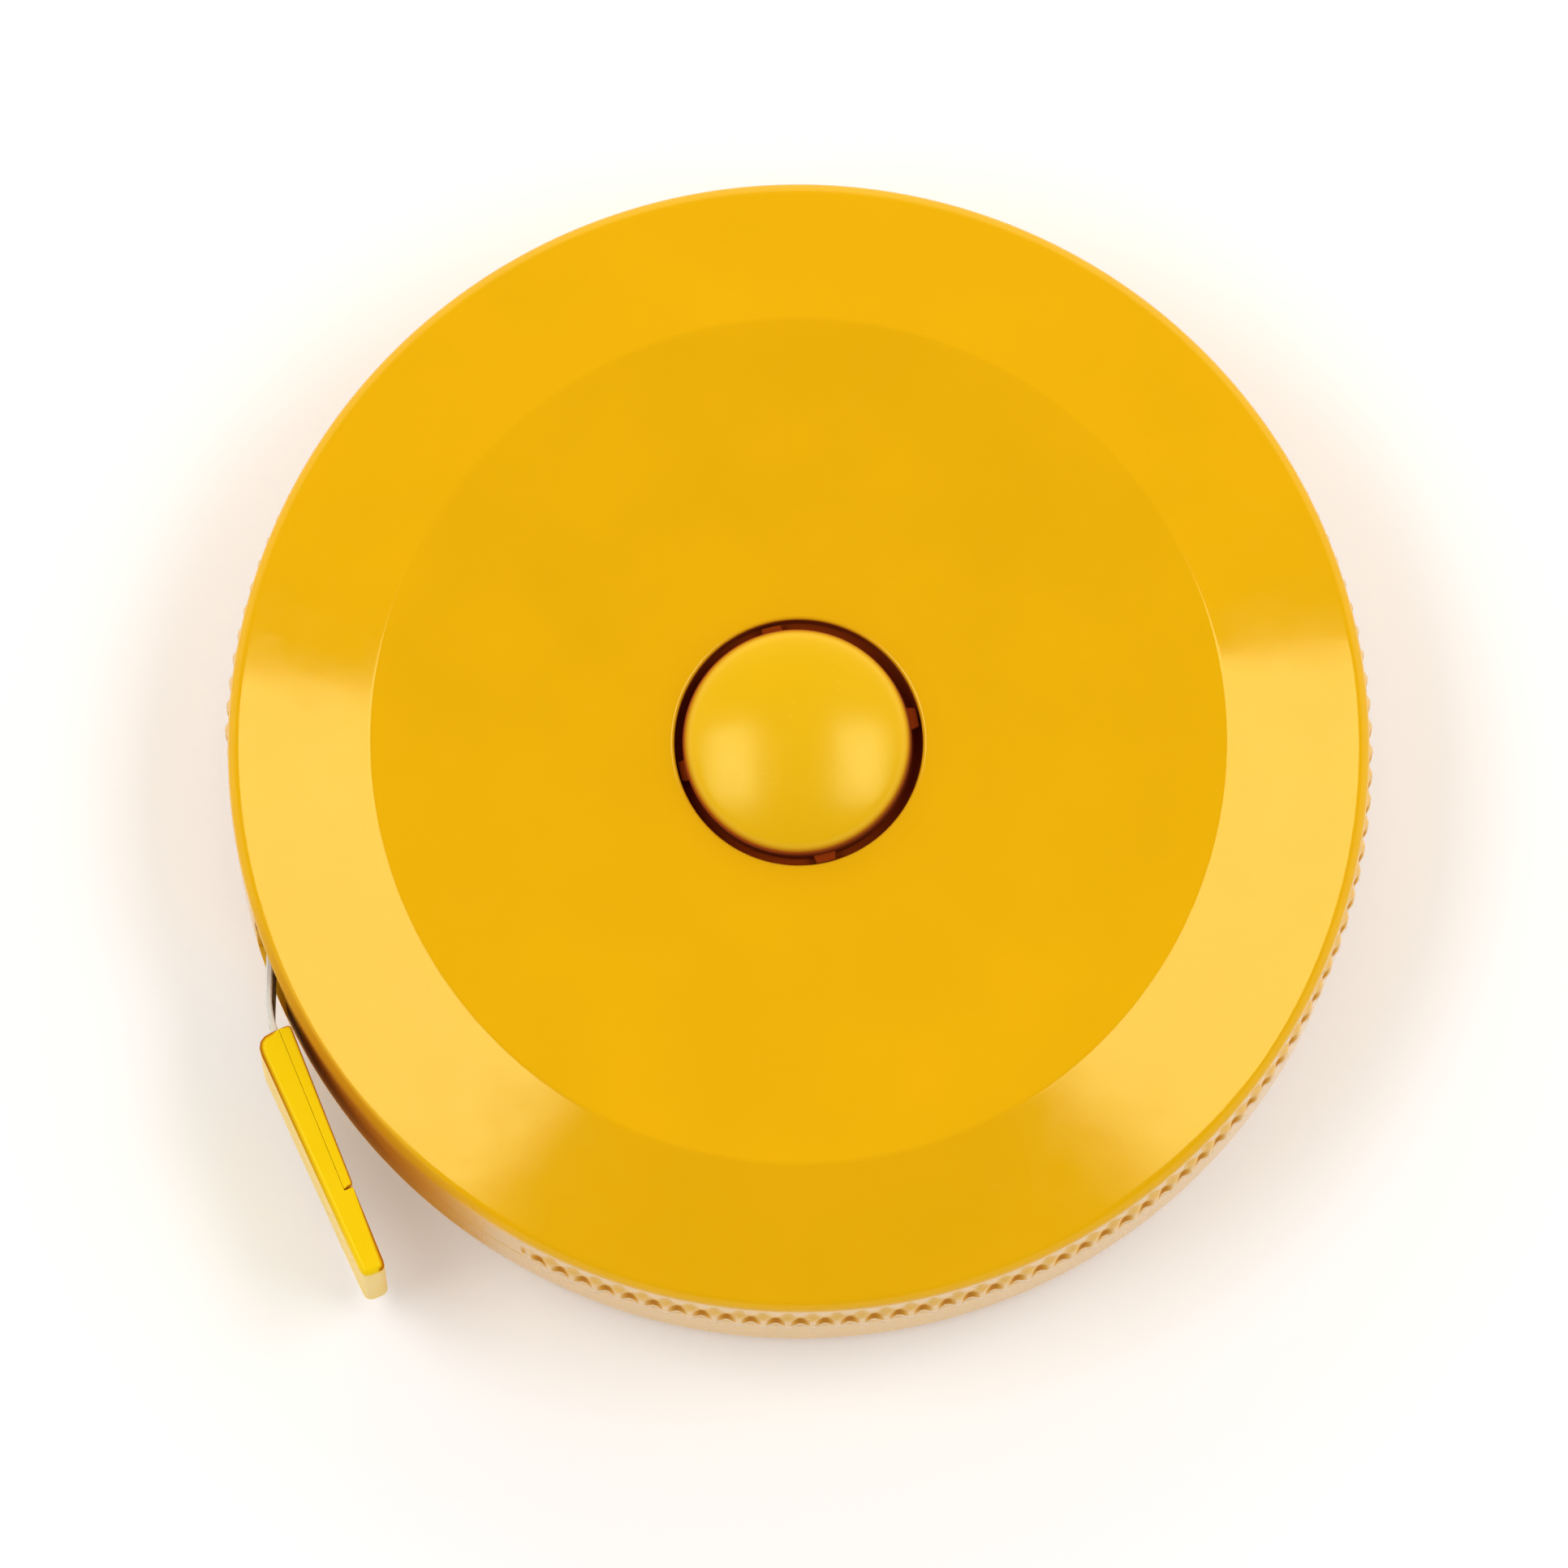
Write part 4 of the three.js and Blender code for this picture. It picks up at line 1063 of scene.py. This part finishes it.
front_radius = front_radius + np.where(on_band, knurl_height * ridge_run * ridge_wave, 0)
in_front_wall = (front_radius > case_bore - corner_slack) & in_slot(front_angle)
in_opening = in_front_wall & (front_height < slot_top)
front_radius = np.where(in_opening, np.minimum(front_radius, case_radius), front_radius)
front_height = np.where(in_opening, slot_top, front_height)
front_points = turned(front_radius, front_height, front_angle + front_lean)
front_shell = build("front_shell_moulding", front_points, closed=True)
dress(front_shell, "front_shell", "case", case_plastic)
# Where shade and highlights are painted on the wall: the grooves' painted shade, the painted shadow beside
# the tab, and the pale painted highlight on the ridges' ends.
groove_low, groove_high, groove_fade = 7.0, 9.1, 0.4
crest_low, crest_high, crest_fade = 7.3, 8.7, 0.3
groove_shade, tab_shadow, crest_highlight = 0.68, 0.5, 0.12
tab_shadow_centre, tab_shadow_half_span = np.radians(217), np.radians(22)
wall_depth, highlight_margin = 0.3, 0.05


def paint_wall_shade_and_highlights(piece):
    """Marks a shell's wall: painted shade in the grooves between the ridges, painted shadow on the smooth
    part beside the tab in a half wave round the wall, and a pale painted highlight on both ends of the
    ridges."""
    spots = points_of(piece)
    radius, angle = np.hypot(spots[:, 0], spots[:, 1]), np.arctan2(spots[:, 1], spots[:, 0])
    height = spots[:, 2]
    on_front = height > front_parting - face_slack
    ridged = on_front & (np.abs(wrapped(angle - smooth_centre)) > smooth_half_span)
    crest = ridges(angle)
    # Painted shade in the grooves between the ridges.
    from_end = np.minimum(height - groove_low, groove_high - height)
    groove = groove_shade * ridged * (1 - crest) * np.clip(from_end / groove_fade, 0, 1)
    # Painted shadow on the smooth wall beside the tab, strongest in the middle of its span.
    from_tab_shadow = np.clip(wrapped(angle - tab_shadow_centre) / tab_shadow_half_span, -1, 1)
    tab_shadow_amount = tab_shadow * np.cos(np.pi / 2 * from_tab_shadow)
    on_wall = radius > case_radius - wall_depth
    mark(piece, "wall_shade", np.where(on_wall, np.maximum(groove, tab_shadow_amount), 0))
    # Pale painted highlight on both ends of each ridge.
    past_middle = np.maximum(height - crest_high, crest_low - height)
    highlit = crest_highlight * ridged * crest * np.clip(past_middle / crest_fade, 0, 1)
    mark(piece, "ridge_end_highlight", np.where(on_wall & (height < band_top + highlight_margin), highlit, 0))


paint_wall_shade_and_highlights(back_shell)
paint_wall_shade_and_highlights(front_shell)
